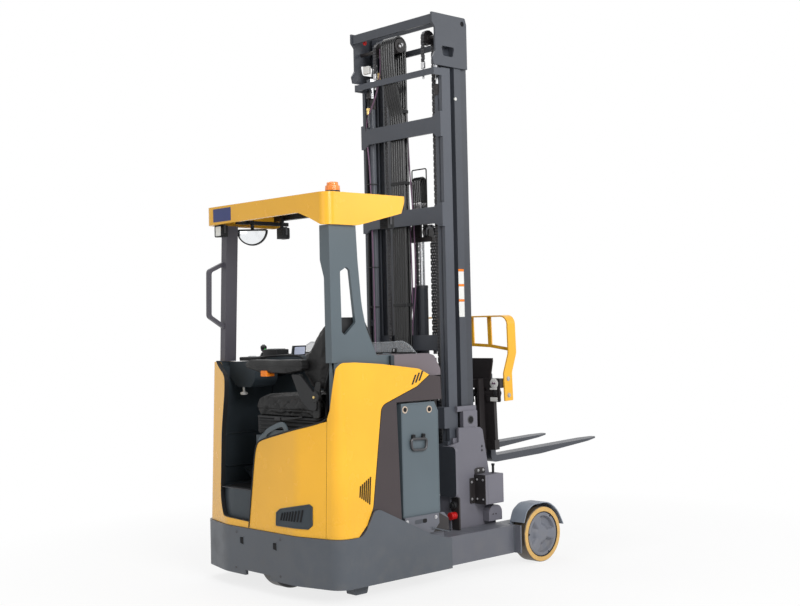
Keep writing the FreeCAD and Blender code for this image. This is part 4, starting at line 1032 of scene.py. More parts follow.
def panel_between(low, high, depth, rim=0.14, count=24):
    """A sunk or raised field between two edge curves: d(u, v) = depth * eased edge of u and v.

    low and high are (n, 2) curves of (u, v) places; the result is a grid of (u, v, d).
    """
    t = np.linspace(0, 1, count)
    marks = [np.linspace(0, 1, len(edge)) for edge in (low, high)]
    edges = [np.stack([np.interp(t, mark, edge[:, k]) for k in (0, 1)], 1)
        for mark, edge in zip(marks, (low, high))]
    v = np.linspace(0, 1, 12)[None, :, None]
    flat = edges[0][:, None] * (1 - v) + edges[1][:, None] * v
    across = np.minimum(t, 1 - t)[:, None] / (rim * 0.35)
    along = np.minimum(v, 1 - v)[:, :, 0] / rim
    ease = np.clip(np.minimum(across, along), 0, 1)
    return np.concatenate([flat, (depth * ease * ease * (3 - 2 * ease))[..., None]], 2)


class TRUCK_OT_panels(bpy.types.Operator):
    """Add the vents, marks, seams and edge trim of the body panels"""
    bl_idname = "truck.panels"
    bl_label = "Body panels"

    def execute(self, context):
        self.rear_vent()
        self.flank_vents()
        self.marks()
        self.door_trim()
        self.seam()
        return {"FINISHED"}

    def rear_vent(self):
        """Sunk grey panel with a raised rim and eight slanting louvres."""
        low = np.array([(-0.154, 0.396), (-0.412, 0.399), (-0.438, 0.42)])
        high = np.array([(-0.156, 0.466), (-0.188, 0.487), (-0.418, 0.529), (-0.436, 0.518)])
        grid = panel_between(low, high, -0.004, 0.16, 40)
        y, z, d = grid[..., 0], grid[..., 1], grid[..., 2]
        edge = np.stack([rear_skin(y, z) - 0.004 - d * 0.75, y, z], 2)
        piece("RearVent", sheet(edge), "lining", sharp=50, recalc=False)
        loop = np.vstack([edge[:, 0], edge[-1, 1:-1], edge[::-1, -1], edge[0, -2:0:-1]])
        piece("RearVentRim", tube(loop + (0.001, 0, 0), 0.0045, 8, closed=True), "lining")
        slots, hoods = [], []
        for k in range(8):
            middle = -0.2 - 0.0238 * k
            foot = np.array((middle + 0.007, 0.428 + 0.0006 * k))
            top = np.array((middle - 0.007, 0.468 + 0.0042 * k))
            path = np.linspace(foot, top, 12)
            spot = on_rear(path, -0.0015)
            slots.append(tube(spot, 0.0055, 10))
            hoods.append(tube(spot + (-0.0012, 0.006, 0), 0.003, 8))
        # Near-black tubes in the slots: painted shade.
        piece("RearVentSlotShade", slots, "void")
        piece("RearVentLouvres", hoods, "lining")

    def flank_vents(self):
        """Turned-in lips along the six slots low on each flank, drawn black, and near-black plates behind
        them: both paint the shade inside the slots.
        """
        lips = []
        for k in range(6):
            foot = np.array((-1.159 + 0.0136 * k, 0.565 - 0.009 * k))
            top = np.array((-1.151 + 0.015 * k, 0.628 + 0.0084 * k))
            path = np.linspace(foot, top, 14)
            spot = np.column_stack([path[:, 0], -side_skin(path[:, 1]) + 0.001, path[:, 1]])
            lips += [tube(spot + (dx, 0, 0), 0.0014, 6) for dx in (-0.0046, 0.0046)]
        # Black lips along the slot edges: painted shade.
        piece("FlankVentShadedLips", mirrored(lips), "black")
        screen = slab((-1.166, -1.071), (0.503, 0.683), 0.004, 0, 0.0015, "Y", 0.0003)
        screen = bent(screen, lambda p: p + np.outer(0.0065 - side_skin(p[:, 2]), (0, 1, 0)))
        # Near-black plates behind the slots: painted shade.
        piece("FlankVentSlotShade", mirrored(screen), "void")

    def marks(self):
        """Three black slanting bars high on each flank."""
        bars = []
        for k in range(3):
            x, z = -0.733 + 0.028 * k, 1.16 + 0.01 * k
            outline = rounded([(x, z), (x + 0.013, z), (x + 0.044, z + 0.056), (x + 0.031, z + 0.056)],
                0.002)
            points, faces = plate(outline, -0.0006, 0.0012, "Y", 0.0004)
            points[:, 1] = -side_skin(points[:, 2]) - points[:, 1]
            bars.append((points, faces))
        piece("FlankMarks", mirrored(bars), "black")

    def door_trim(self):
        """Rubber edging round the doorway: a band as deep as the panel along the sill and sides."""
        left = rounded([(0.112, 0.388), (0.385, 0.396), (0.429, 0.5), (0.423, 0.9), (0.386, 1.12),
            (0.386, 1.225), (0.478, 1.268), (0.53, 1.308)], 0.045, 8)[8:-8]
        left = curve_through(np.vstack([[(0.112, 0.388)], left, [(0.528, 1.307)]]), 110)
        away = np.gradient(left, axis=0)
        away = np.column_stack([-away[:, 1], away[:, 0]]) / np.linalg.norm(away, axis=1)[:, None]
        x = rear_skin(left[:, 0], left[:, 1])
        rings = [np.column_stack([x + deep, left + away * out]) for deep, out in ((-0.0015, 0),
            (-0.0015, 0.004), (0.027, 0.004), (0.027, 0))]
        piece("DoorTrimLeft", loft([np.array(ring) for ring in zip(*rings)]), "rubber")
        piece("DoorTrimRight", tube(on_rear(curve_through([(0.108, 0.356), (0.08, 0.6), (0.054, 0.83),
            (0.0, 0.868), (-0.25, 0.924), (-0.49, 0.978), (-0.521, 1.0)], 70), -0.0005), 0.0045, 8),
            "rubber")

    def seam(self):
        """Painted shade in the gap between the rear panel and the right flank: a near-black tube along
        the seam.
        """
        piece("PanelSeamShade", tube(on_rear(np.linspace((-0.5265, 0.355), (-0.5265, 0.985), 40), 0.004),
            0.003, 8), "void")


# ---- chassis and battery
class TRUCK_OT_chassis(bpy.types.Operator):
    """Add the skirt's holes and screws, the leg's weld lines and the battery's fittings"""
    bl_idname = "truck.chassis"
    bl_label = "Chassis and battery"

    def execute(self, context):
        self.skirt()
        self.legs()
        self.battery()
        return {"FINISHED"}

    def skirt(self):
        """Two towing holes, filled with near-black plates as painted shade, with turned-in edges, and
        four screws.
        """
        holes, lips = [], []
        for y in (0.173, -0.141):
            outline = rounded([(y - 0.026, 0.252), (y + 0.012, 0.258), (y + 0.012, 0.296),
                (y - 0.026, 0.3)], 0.006)
            holes.append(plate(outline, -1.3908, -1.384, "X", 0.0002))
            lips.append(tube(lifted(outline, -1.3905), 0.0022, 6, closed=True))
        # Near-black plates in the holes: painted shade.
        piece("TowHoleShade", holes, "void")
        piece("TowHoleEdges", lips, "chassis")
        screws = [turned([-0.004, (0.005, -0.004), (0.0075, -0.001), (0.0075, 0.003), 0.003],
            (-1.39, y, z), "X", 16) for y, z in ((0.22, 0.32), (-0.197, 0.321), (0.227, 0.115),
            (-0.194, 0.115))]
        piece("SkirtScrews", screws, "dark_steel")

    def legs(self):
        """Weld beads where the side beams, end plates and axle ends meet."""
        beads = []
        wiggle = 0.0012
        for x, y, low, high in ((-0.471, -0.6, 0.09, 0.25), (0.126, -0.586, 0.085, 0.245)):
            z = np.linspace(low, high, 60)
            beads.append(tube(np.column_stack([x + wiggle * np.sin(z * WELD_RIPPLE), np.full(60, y), z]),
                0.004, 8))
        x = np.linspace(-0.62, -0.48, 50)
        beads.append(tube(np.column_stack([x, np.full(50, -0.628), 0.336 - (x + 0.633) * 0.27 + wiggle
            * np.sin(x * WELD_RIPPLE)]), 0.003, 8))
        piece("WeldBeads", mirrored(beads), "chassis")

    def battery(self):
        """Lifting holes with pale rings and painted shade in them, the bracket's cover with painted shade
        in its slot, the bail handle, fold and screws.
        """
        low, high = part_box("battery")
        rings, holes, posts = [], [], []
        for x, z in ((-0.804, 1.02), (-0.611, 1.012)):
            spot = (x + 0.012, low.y, z)
            rings.append(turned([(0.013, 0), (0.0205, 0), (0.0205, -0.003), (0.017, -0.0045),
                (0.013, -0.003)], spot, "Y", 28, False))
            holes.append(turned([-0.005, (0.0128, -0.005), (0.0132, 0.001)], spot, "Y", 24))
        piece("BatteryEyeRings", mirrored(rings), "ring")
        # Near-black discs in the lifting holes: painted shade.
        piece("BatteryEyeHoleShade", mirrored(holes), "void")
        outer = low.y - 0.0165
        bracket = plate(rounded([(-0.822, 0.303), (-0.822, 0.404), (-0.815, 0.4105), (-0.552, 0.4105),
            (-0.549, 0.352), (-0.6, 0.303)], 0.003), outer, low.y - 0.0142, "Y")
        # The bracket takes the lighter copy of the chassis paint: painted light on its side face.
        piece("BatteryBracket", mirrored(bracket), "leg")
        back = plate(rounded([(-0.606, 0.3035), (-0.549, 0.36), (-0.549, 0.41), (-0.4725, 0.37),
            (-0.4725, 0.3035)], 0.003), low.y - 0.015, low.y - 0.0141, "Y", 0.0002)
        piece("BatteryBracketReturn", mirrored(back), "fork")
        piece("BatteryBracketSlot", mirrored(slab((-0.747, -0.65), (0.366, 0.39), 0.011, outer - 0.0006,
            outer + 0.001, "Y", 0.0002)), "fork_grey")
        # A near-black plate in the slot's hole: painted shade.
        piece("BatteryBracketHoleShade", mirrored(slab((-0.684, -0.65), (0.366, 0.39), 0.011, outer - 0.001,
            outer + 0.001, "Y", 0.0002)), "void")
        piece("BatteryBracketBolts", mirrored([bolt_head((x, outer, z), "-Y", 0.017) for x, z in ((-0.806,
            0.386), (-0.578, 0.389))]), "steel")
        y = low.y - 0.012
        bail = rounded([(-0.758, 0.852), (-0.632, 0.846), (-0.64, 0.784), (-0.75, 0.788)], 0.022, 5)
        handle = tube(lifted(bail, y, "Y"), 0.0075, 10, closed=True)
        for x in (-0.735, -0.656):
            posts.append(slab((x - 0.011, x + 0.011), (0.846, 0.876), 0.006, low.y - 0.016, low.y, "Y"))
            posts.append(bolt_head((x, low.y - 0.016, 0.868), "-Y", 0.01))
        piece("BatteryHandle", mirrored(handle), "dark_steel")
        piece("BatteryHandlePosts", mirrored(posts), "black")
        edge = rounded([(low.x + 0.006, low.z + 0.03), (high.x - 0.006, low.z + 0.03), (high.x - 0.006,
            1.0), (high.x - 0.034, 1.046), (low.x + 0.006, 1.046)], 0.01)
        piece("BatteryPanelFold", mirrored(tube(lifted(edge, low.y + 0.0005, "Y"), 0.0022, 6,
            closed=True)), "battery")
        piece("BatteryTopBolts", [bolt_head((x, 0.15 * k, high.z), "Z", 0.02) for k in range(-3, 4)
            for x in (-0.76, -0.6)], "steel")


# ---- operator's place
class TRUCK_OT_cab(bpy.types.Operator):
    """Add the mat, pedal pads, grab loop, console fittings, display, stick and steering knob"""
    bl_idname = "truck.cab"
    bl_label = "Operator's place"

    def execute(self, context):
        self.floor_mat()
        self.pedals()
        self.grab_loop()
        self.console()
        self.stick()
        self.steering()
        self.left_lining()
        self.side_lining()
        return {"FINISHED"}

    def floor_mat(self):
        """Ribbed rubber mat: height z = base + ridge of a cosine across the ribs."""
        x = np.linspace(-1.305, -0.868, 12)
        edge, rib_pitch = 0.116, 0.0128
        y = np.linspace(edge, 0.437, 200)
        x, y = np.meshgrid(x, y, indexing="ij")
        ridge = np.clip(np.cos((y - edge) * 2 * PI / rib_pitch) * 3, -1, 1)
        z = 0.5635 + 0.0015 * ridge
        border = (x == x.min()) | (x == x.max()) | (y == y.min()) | (y == y.max())
        z = np.where(border, 0.5605, z)
        piece("FloorMat", sheet(np.stack([x, y, z], 2)), "rubber", sharp=60, recalc=False)
        piece("SillStrip", slab((-1.346, -1.306), (0.125, 0.43), 0.006, 0.56, 0.5645, "Z", 0.001),
            "dark_steel")

    def pedals(self):
        """Rubber pads with raised ribs on the two pedals."""
        pads, ribs = [], []
        for low in (0.25, 0.42):
            foot, top = np.array((low + 0.02, 0.56)), np.array((low + 0.13, 0.64))
            along = (top - foot) / np.linalg.norm(top - foot)
            up = np.array((along[1], -along[0]))
            outline = rectangle((-1.084, -1.006), (0.012, 0.122), 0.008)
            points, faces = plate(outline, 0.0, 0.006, "Z", 0.002)
            place = foot + points[:, 1:2] * along + points[:, 2:3] * up
            pads.append((np.column_stack([points[:, 0], place]), faces))
            for share in np.linspace(0.03, 0.105, 6):
                centre = foot + share * along + 0.0068 * up
                path = np.array([(-1.078, *centre), (-1.045, *centre), (-1.012, *centre)])
                ribs.append(tube(path, 0.0024, 8))
        piece("PedalPads", pads, "rubber")
        piece("PedalRibs", ribs, "grey")

    def grab_loop(self):
        """Flat grey loop behind the rear panel's edge, and the moulding that it stands on."""
        path = curve_through([(0.015, 0.8), (0.012, 0.86), (0.004, 0.885), (-0.014, 0.906),
            (-0.045, 0.922), (-0.129, 0.952), (-0.165, 0.958), (-0.182, 0.948), (-0.196, 0.92),
            (-0.204, 0.86)], 60)
        piece("GrabLoop", flat_bar(path, -1.33, 0.009, 0.028), "pillar", sharp=50)
        piece("DeckMoulding", plate(rounded([(0.108, 0.57), (0.1, 0.868), (0.02, 0.915), (-0.4, 0.93),
            (-0.4, 0.57)], 0.045, 8), -1.322, -1.287, "X", 0.012), "battery")

    def console(self):
        """Keypad with its buttons and lamp, the display in its frame, and switches beside them."""
        deck = 1.368
        piece("KeypadCase", slab((-0.985, -0.887), (0.332, 0.478), 0.01, 1.318, deck + 0.002, "Z", 0.003),
            "black")
        keys = [slab((x - 0.0085, x + 0.0085), (y - 0.0105, y + 0.0105), 0.003, deck + 0.001,
            deck + 0.006, "Z", 0.0015) for x in (-0.96, -0.936, -0.912) for y in np.arange(4) * 0.027
            + 0.358]
        piece("Keys", keys, "grey")
        piece("KeypadLamp", turned([0.004, (0.004, 0.003), (0.0055, 0), 0], (-0.97, 0.468, deck + 0.002),
            "Z", 14), "green")
        foot, head = np.array((0.1745, 1.333)), np.array((0.1655, 1.39))

        def on_screen(outline, out, thick):
            points, faces = plate(outline, 0, thick, "Z", thick * 0.3)
            y_z = foot + points[:, 1:2] * (head - foot)
            return np.column_stack([points[:, 0], y_z[:, 0] - out - points[:, 2], y_z[:, 1]]), faces
        frame_shape = on_screen(rectangle((-0.984, -0.888), (-0.06, 1.04), 0.05), 0.0, 0.004)
        glass = on_screen(rectangle((-0.976, -0.896), (0.1, 0.9), 0.03), 0.004, 0.0012)
        piece("ScreenFrame", frame_shape, "black")
        piece("ScreenGlass", glass, "display")
        piece("RockerSwitches", [slab((-0.95, -0.925), (y, y + 0.017), 0.003, 1.331, 1.341, "Z", 0.002)
            for y in (0.235, 0.261, 0.287)], "black")
        piece("ConsoleEdge", tube(lifted(curve_through([(0.545, 1.32), (0.3, 1.334), (0.085, 1.334),
            (0.062, 1.3), (0.085, 1.236)], 50), -0.99), 0.006, 8), "black")

    def stick(self):
        """Folded boot and a shaped grip on the hydraulic stick."""
        spot = (-0.948, 0.513, 1.316)
        height = np.linspace(0, 0.034, 25)
        radius = 0.03 - 0.016 * height / 0.034 + 0.0022 * np.cos(height * 2 * PI / 0.0068)
        boot = turned([0, *zip(radius, height), 0.034], spot, "Z", 28)
        grip = turned([0.034, (0.01, 0.036), (0.012, 0.046), (0.0185, 0.054), (0.0205, 0.064),
            (0.0185, 0.074), (0.01, 0.0805), 0.082], spot, "Z", 28)
        piece("StickBoot", boot, "rubber")
        piece("StickGrip", grip, "black")
        piece("StickButtons", [turned([0.085, (0.003, 0.0848), (0.0042, 0.082), (0.0042, 0.078), 0.078],
            (-0.948, 0.513 + dy, 1.316), "Z", 12) for dy in (-0.007, 0.007)], "grey")

    def steering(self):
        """Rolled edge and cap of the small steering wheel."""
        low, high, centre = box_places("steering_wheel")
        top, radius = high[2], (high - low)[0] / 2
        thick, around, angle = 0.0088, turn(14)[:, None], turn(72)
        grips = 1 + 0.012 * np.cos(angle * 12)
        out = (radius - 0.008 + thick * np.cos(around)) * grips
        height = top - 0.0085 + thick * np.sin(around)
        rings = np.stack([out * np.cos(angle), out * np.sin(angle), np.repeat(height, 72, 1)], 2)
        rings += (centre[0], centre[1], 0)
        piece("SteeringRing", loft(rings, closed=True), "rubber", "steering_wheel")
        piece("SteeringCap", turned([0.006, (0.02, 0.006), (0.027, 0.003), (0.03, 0), 0],
            (centre[0], centre[1], top), "Z", 36), "grey", "steering_wheel")

    def left_lining(self):
        """Pull knob, seam and lid of the column, and a moulded pocket rim on the left lining."""
        piece("ColumnKnob", turned([0.0, (0.007, 0.0), (0.007, -0.03), (0.022, -0.034), (0.024, -0.042),
            (0.018, -0.049), -0.05], (-1.165, 0.43, 1.149), "Z", 24), "white")
        seam = rounded([(0.293, 1.24), (0.293, 1.192), (0.332, 1.151), (0.468, 1.151), (0.548, 1.215)],
            0.03, 6)
        # A near-black line in the lid's seam: painted shade.
        piece("ColumnSeamShade", tube(lifted(seam, -1.1)[:-5], 0.0022, 6), "void")
        piece("ColumnLid", slab((-1.178, -1.022), (0.3, 0.52), 0.02, 1.294, 1.301, "Z", 0.003), "lining")
        pocket = rounded([(-1.23, 0.66), (-0.92, 0.66), (-0.92, 0.86), (-1.23, 0.86)], 0.04, 6)
        inner_y = 0.568 - (pocket[:, 1] - 0.56) * 0.035
        piece("PocketRim", tube(np.column_stack([pocket[:, 0], inner_y, pocket[:, 1]]), 0.006, 8,
            closed=True), "lining")

    def side_lining(self):
        """Orange mark and bracket under the armrest, the left rim's lining and the bulkhead's cheek."""
        low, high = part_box("armrest")
        piece("ArmrestMark", slab((-0.025, 0.035), (low.z - 0.014, low.z + 0.02), 0.005, low.x - 0.0035,
            high.x - 0.012, "X", 0.003), "orange")
        bracket = plate(rounded([(-0.3, 1.24), (-0.22, 1.24), (-0.3, 1.1), (-0.38, 1.04), (-0.44, 1.04),
            (-0.44, 1.12)], 0.02), low.x + 0.018, low.x + 0.04)
        piece("LeftRimLining", plate(rounded([(-1.252, 1.2), (-1.252, 1.306), (-1.1, 1.298), (-1.1, 1.2)],
            0.006), 0.5635, 0.5665, "Y", 0.001), "lining")
        piece("ArmrestBracket", bracket, "black")
        piece("BulkheadCheek", slab((-0.95, -0.829), (1.216, 1.336), 0.006, -0.5415, -0.515, "Y"),
            "pillar")


# ---- overhead guard and hood
class TRUCK_OT_guard(bpy.types.Operator):
    """Add the beacon, lamps, mirror, blank plate, beam and screws of the overhead guard"""
    bl_idname = "truck.guard"
    bl_label = "Overhead guard"

    def execute(self, context):
        self.beacon()
        self.lamps()
        self.mirror()
        self.trim()
        return {"FINISHED"}

    def beacon(self):
        """Fluted amber lens in two tiers on a black foot: radius * (1 + flute * cos(angle))."""
        low, _, centre = box_places("beacon")
        profile = np.array([(POLE, 0.013), (0.0405, 0.013), (0.0415, 0.018), (0.0405, 0.04),
            (0.0395, 0.046), (0.034, 0.048), (0.0325, 0.052), (0.0315, 0.066), (0.028, 0.0705),
            (POLE, 0.0715)])
        points, faces = turned(profile * (1, 0.83), (*centre[:2], low[2]), "Z", 96)
        away = points[:, :2] - centre[:2]
        angle = np.arctan2(away[:, 1], away[:, 0])
        flute = 1 + 0.014 * np.cos(angle * 24)
        points[:, :2] = centre[:2] + away * flute[:, None]
        lens = piece("BeaconLens", (points, faces), "amber")
        piece("BeaconFoot", turned([(POLE, 0), (0.043, 0), (0.043, 0.006), (0.04, 0.0135),
            (POLE, 0.0135)], (*centre[:2], low[2]), "Z", 48), "black")
        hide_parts("beacon")

    def lamps(self):
        """Lamp rims round glass, cooling ribs behind and a bracket over each housing."""
        rims, lenses, ribs, clips = [], [], [], []
        half, foot, top = 0.036, 2.06, 2.132
        for x, y, facing in ((-1.285, 0.495, -1), (-0.845, 0.455, 1), (-0.79, -0.455, 1)):
            front, back = (x, x + 0.046) if facing < 0 else (x + 0.046, x)
            rim = rectangle((y - half, y + half), (foot, top), 0.012)
            hole = inset(rim, 0.007)
            rings = [lifted(shape, front - facing * deep) for shape, deep in ((rim, 0.014), (rim, -0.003),
                (hole, -0.003), (hole, 0.003))]
            rims.append(loft(rings, capped=False))
            lenses.append(plate(hole, front - 0.001, front + 0.001, "X", 0.0005))
            for z in np.arange(4) * 0.014 + foot + 0.012:
                ribs.append(slab((y - 0.028, y + 0.028), (z, z + 0.004), 0.001, back - 0.005,
                    back + 0.005))
            strap = rectangle((x + 0.016, x + 0.03), (y - half - 0.0025, y + half + 0.0025), 0.003)
            clips.append(plate(strap, top, top + 0.004, "Z", 0.0008))
            for side in (-1, 1):
                clips.append(slab((x + 0.016, x + 0.03), (2.085, top + 0.003), 0.004,
                    y + side * half - 0.002, y + side * half + 0.002, "Y", 0.0004))
        piece("LampRims", rims, "black")
        piece("LampRibs", ribs, "black")
        piece("LampBrackets", clips, "dark_steel")
        piece("LampLenses", lenses, "lamp_glass")

    def mirror(self):
        """Half-round convex glass, a thick rolled rim and a ball joint.

        The glass stands out by bulge * (1 - (r / radius)**2) from the half disc's plane.
        """
        low, high = (np.array(corner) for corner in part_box("mirror"))
        centre = np.array(((low[0] + high[0]) / 2, (low[1] + high[1]) / 2, 2.108))
        radius, turn = 0.0915, math.radians(45)
        out = np.array((-math.cos(turn), -math.sin(turn), 0))
        side = np.array((math.sin(turn), -math.cos(turn), 0))
        r = np.linspace(0.0, radius - 0.006, 12)[:, None]
        t = np.linspace(PI, 2 * PI, 40)[None]
        flat = np.array((0, 0, 1))
        bulge = 0.01 * (1 - (r / radius) ** 2) + 0.0155 + 0 * t
        piece("MirrorGlass", sheet(centre + (r * np.cos(t))[..., None] * side + (r * np.sin(t)
            - 0.006)[..., None] * flat + bulge[..., None] * out), "mirror", recalc=False)
        arc = np.linspace(PI, 2 * PI, 40)
        rim = centre + (radius - 0.003) * (np.cos(arc)[:, None] * side + np.sin(arc)[:, None] * flat)
        top = np.linspace(rim[-1], rim[0], 24)[1:-1]
        piece("MirrorRim", tube(np.vstack([rim, top]) + 0.012 * out, 0.0062, 10, closed=True), "black")
        stem = curve_through([centre + 0.01 * flat, centre + 0.03 * flat, (centre[0], 0.475, 2.16),
            (centre[0], 0.495, 2.168)], 20)
        ball = turned([-0.013, (0.009, -0.009), (0.013, 0), (0.009, 0.009), 0.013], centre + (0, 0,
            0.022), "Z", 20)
        piece("MirrorStem", [tube(stem, 0.007), ball], "black")

    def trim(self):
        """Blank blue plate, the dark beam under the left edge, flange screws, clear roof windows and a
        lamp lead.
        """
        piece("BlankPlate", slab((0.306, 0.486), (2.147, 2.226), 0.004, -1.3268, -1.3245, "X", 0.0006),
            "blue")
        beam = slab((-1.15, -0.745), (2.146, 2.17), 0.004, 0.492, 0.508, "Y")
        ends = [slab((x, x + 0.02), (2.165, 2.2275), 0.002, 0.494, 0.506, "Y") for x in (-1.12, -0.8)]
        piece("LampBeam", [beam] + ends, "black")
        piece("GuardScrews", [bolt_head((x, y, 2.24), "Z", 0.014) for x in (-1.28, -0.77) for y in (-0.45,
            0, 0.45)], "dark_steel")
        piece("GuardWindows", [slab((-1.235, -0.815), (-0.4 + 0.14 * k - 0.001, -0.296 + 0.14 * k), 0.004,
            2.216, 2.2195, "Z", 0.0006) for k in range(6)], "clear")
        piece("LampLead", tube(curve_through([(-1.245, 0.5, 2.13), (-1.225, 0.52, 2.155),
            (-1.2, 0.53, 2.19), (-1.15, 0.535, 2.205)], 24), 0.004, 8), "rubber")


class TRUCK_OT_hood(bpy.types.Operator):
    """Add the battery hood's seams, ribs and catch, and the clear screen's edge and clamps"""
    bl_idname = "truck.hood"
    bl_label = "Hood and screen"

    def execute(self, context):
        low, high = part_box("battery_hood")
        top = high.z
        # A near-black line round the hood's seam: painted shade.
        piece("HoodSeamShade", tube(lifted(rounded([(low.x + 0.03, low.y + 0.05), (high.x - 0.12,
            low.y + 0.05), (high.x - 0.12, high.y - 0.05), (low.x + 0.03, high.y - 0.05)], 0.03, 6),
            top - 0.0004, "Z"), 0.0022, 6, closed=True), "void")
        piece("HoodRibs", [slab((low.x + 0.06, high.x - 0.15), (y - 0.03, y + 0.03), 0.02, top - 0.001,
            top + 0.004, "Z", 0.003) for y in (-0.3, 0, 0.3)], "battery")
        piece("HoodCatch", slab((low.x + 0.02, low.x + 0.06), (-0.4, -0.34), 0.006, top - 0.002,
            top + 0.012, "Z", 0.004), "black")
        self.screen_edge()
        return {"FINISHED"}

    def screen_edge(self):
        """Three clamps with screws, a rubber foot, and a polished edge round the clear sheet."""
        low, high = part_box("clear_screen")
        x = (low.x + high.x) / 2
        piece("ScreenFoot", slab((x - 0.009, x + 0.009), (-0.54, 0.54), 0.003, 1.334, 1.344, "Z", 0.002),
            "rubber")
        half = np.array([(0, 1.4015), (0.2, 1.4025), (0.4, 1.4085), (0.44, 1.405), (0.49, 1.38),
            (0.545, 1.335)])
        edge = curve_through(np.vstack([half[:0:-1] * (-1, 1), half]), 120)
        piece("ScreenEdge", tube(np.column_stack([np.full(120, x), edge - (0, 0.0028)]), 0.003, 8),
            "clear")
        clamps, screws = [], []
        for y in (-0.36, 0, 0.36):
            clamps.append(slab((y - 0.02, y + 0.02), (1.335, 1.366), 0.005, x - 0.009, x - 0.003))
            screws.append(bolt_head((x - 0.009, y, 1.354), "-X", 0.012))
        piece("ScreenClamps", clamps, "black")
        piece("ScreenScrews", screws, "steel")


# ---- mast
def leaf_chain(path, y, width):
    """Leaf chain along a path of (x, z) points: figure-of-eight plates on pins.

    A plate's outline is half pitch * clipped cos(t) + r * cos(t) along the link, and
    r * sin(t) across it.
    """
    pitch, stack = bpy.context.scene.truck_sizes.chain_pitch, 6
    path = np.asarray(path, float)
    run = np.concatenate([[0], np.cumsum(np.linalg.norm(np.diff(path, axis=0), axis=1))])
    at = np.arange(int(run[-1] / pitch) + 1) * pitch
    pins = np.stack([np.interp(at, run, path[:, k]) for k in (0, 1)], 1)
    along = np.diff(pins, axis=0)
    along /= np.linalg.norm(along, axis=1, keepdims=True)
    across = np.stack([-along[:, 1], along[:, 0]], 1)
    middle = (pins[1:] + pins[:-1]) / 2
    t = turn(12)
    r = pitch * 0.33
    u = pitch / 2 * np.clip(np.cos(t) * 3, -1, 1) + r * np.cos(t)
    w = r * np.sin(t) * (1 - 0.25 * (1 - np.abs(np.cos(t))))
    flat = middle[:, None] + u[:, None] * along[:, None] + w[:, None] * across[:, None]
    step = width / stack
    skin = grid_faces(2, 12, False, True).tolist()
    skin += [list(range(12))[::-1], list(range(12, 24))]
    plates = []
    for row in range(stack):
        shapes = flat[row % 2::2]
        level = y - width / 2 + step * (row + 0.5)
        rings = [np.insert(shapes, 1, level + d, axis=2) for d in (-step * 0.42, step * 0.42)]
        points = np.stack(rings, 1).reshape(-1, 3)
        plates.append((points, [[index + 24 * k for index in face] for k in range(len(shapes))
            for face in skin]))
    pin = rod(pitch * 0.15, -width / 2 - 0.0015, width / 2 + 0.0015, (0, 0, 0), "Y", 8)
    offsets = lifted(pins, y, "Y")
    return together(plates + [copies(pin, offsets)])


def cable_tie(centre, width, depth):
    """A flat strap round a bundle: a closed flat band on a rounded rectangle in plan."""
    shape = rectangle((centre[0] - depth / 2, centre[0] + depth / 2), (centre[1] - width / 2,
        centre[1] + width / 2), min(width, depth) * 0.35, 5)
    rings = [lifted(shape, centre[2] + d, "Z") for d in (-0.003, 0.003)]
    inner = [np.column_stack([inset(shape, 0.0015), np.full(len(shape), centre[2] + d)]) for d in (0.003,
        -0.003)]
    return loft(rings + inner, closed=True)


def gland(centre, radius, height):
    """A turned cylinder head with a step, two grooves and an eased edge."""
    profile = [0, (radius * 1.06, 0), (radius * 1.1, height * 0.06), (radius * 1.1, height * 0.4),
        (radius * 1.02, height * 0.42), (radius * 1.02, height * 0.5), (radius * 1.1, height * 0.52),
        (radius * 1.1, height * 0.85), (radius, height), height]
    return turned(profile, centre)


def hose_end(centre, axis="Z", radius=0.0075):
    """A crimped hose fitting with its hexagon nut."""
    crimp = [0, (radius * 1.15, 0), (radius * 1.3, 0.003), (radius * 1.3, 0.024), (radius * 1.1, 0.027),
        0.027]
    nut = [0.026, (radius * 1.55, 0.026), (radius * 1.6, 0.029), (radius * 1.6, 0.039), (radius * 1.45,
        0.042), 0.042]
    return together([turned(crimp, centre, axis, 18), turned(nut, centre, axis, 6)])


FREE_LIFT = (-0.06, -0.015)
HOSE_PLACES = (0.006, 0.027, 0.048, 0.069, 0.09, 0.111)
CHAIN_PLACES = (-0.255, 0.19)
AXLE_HEIGHT = 3.29


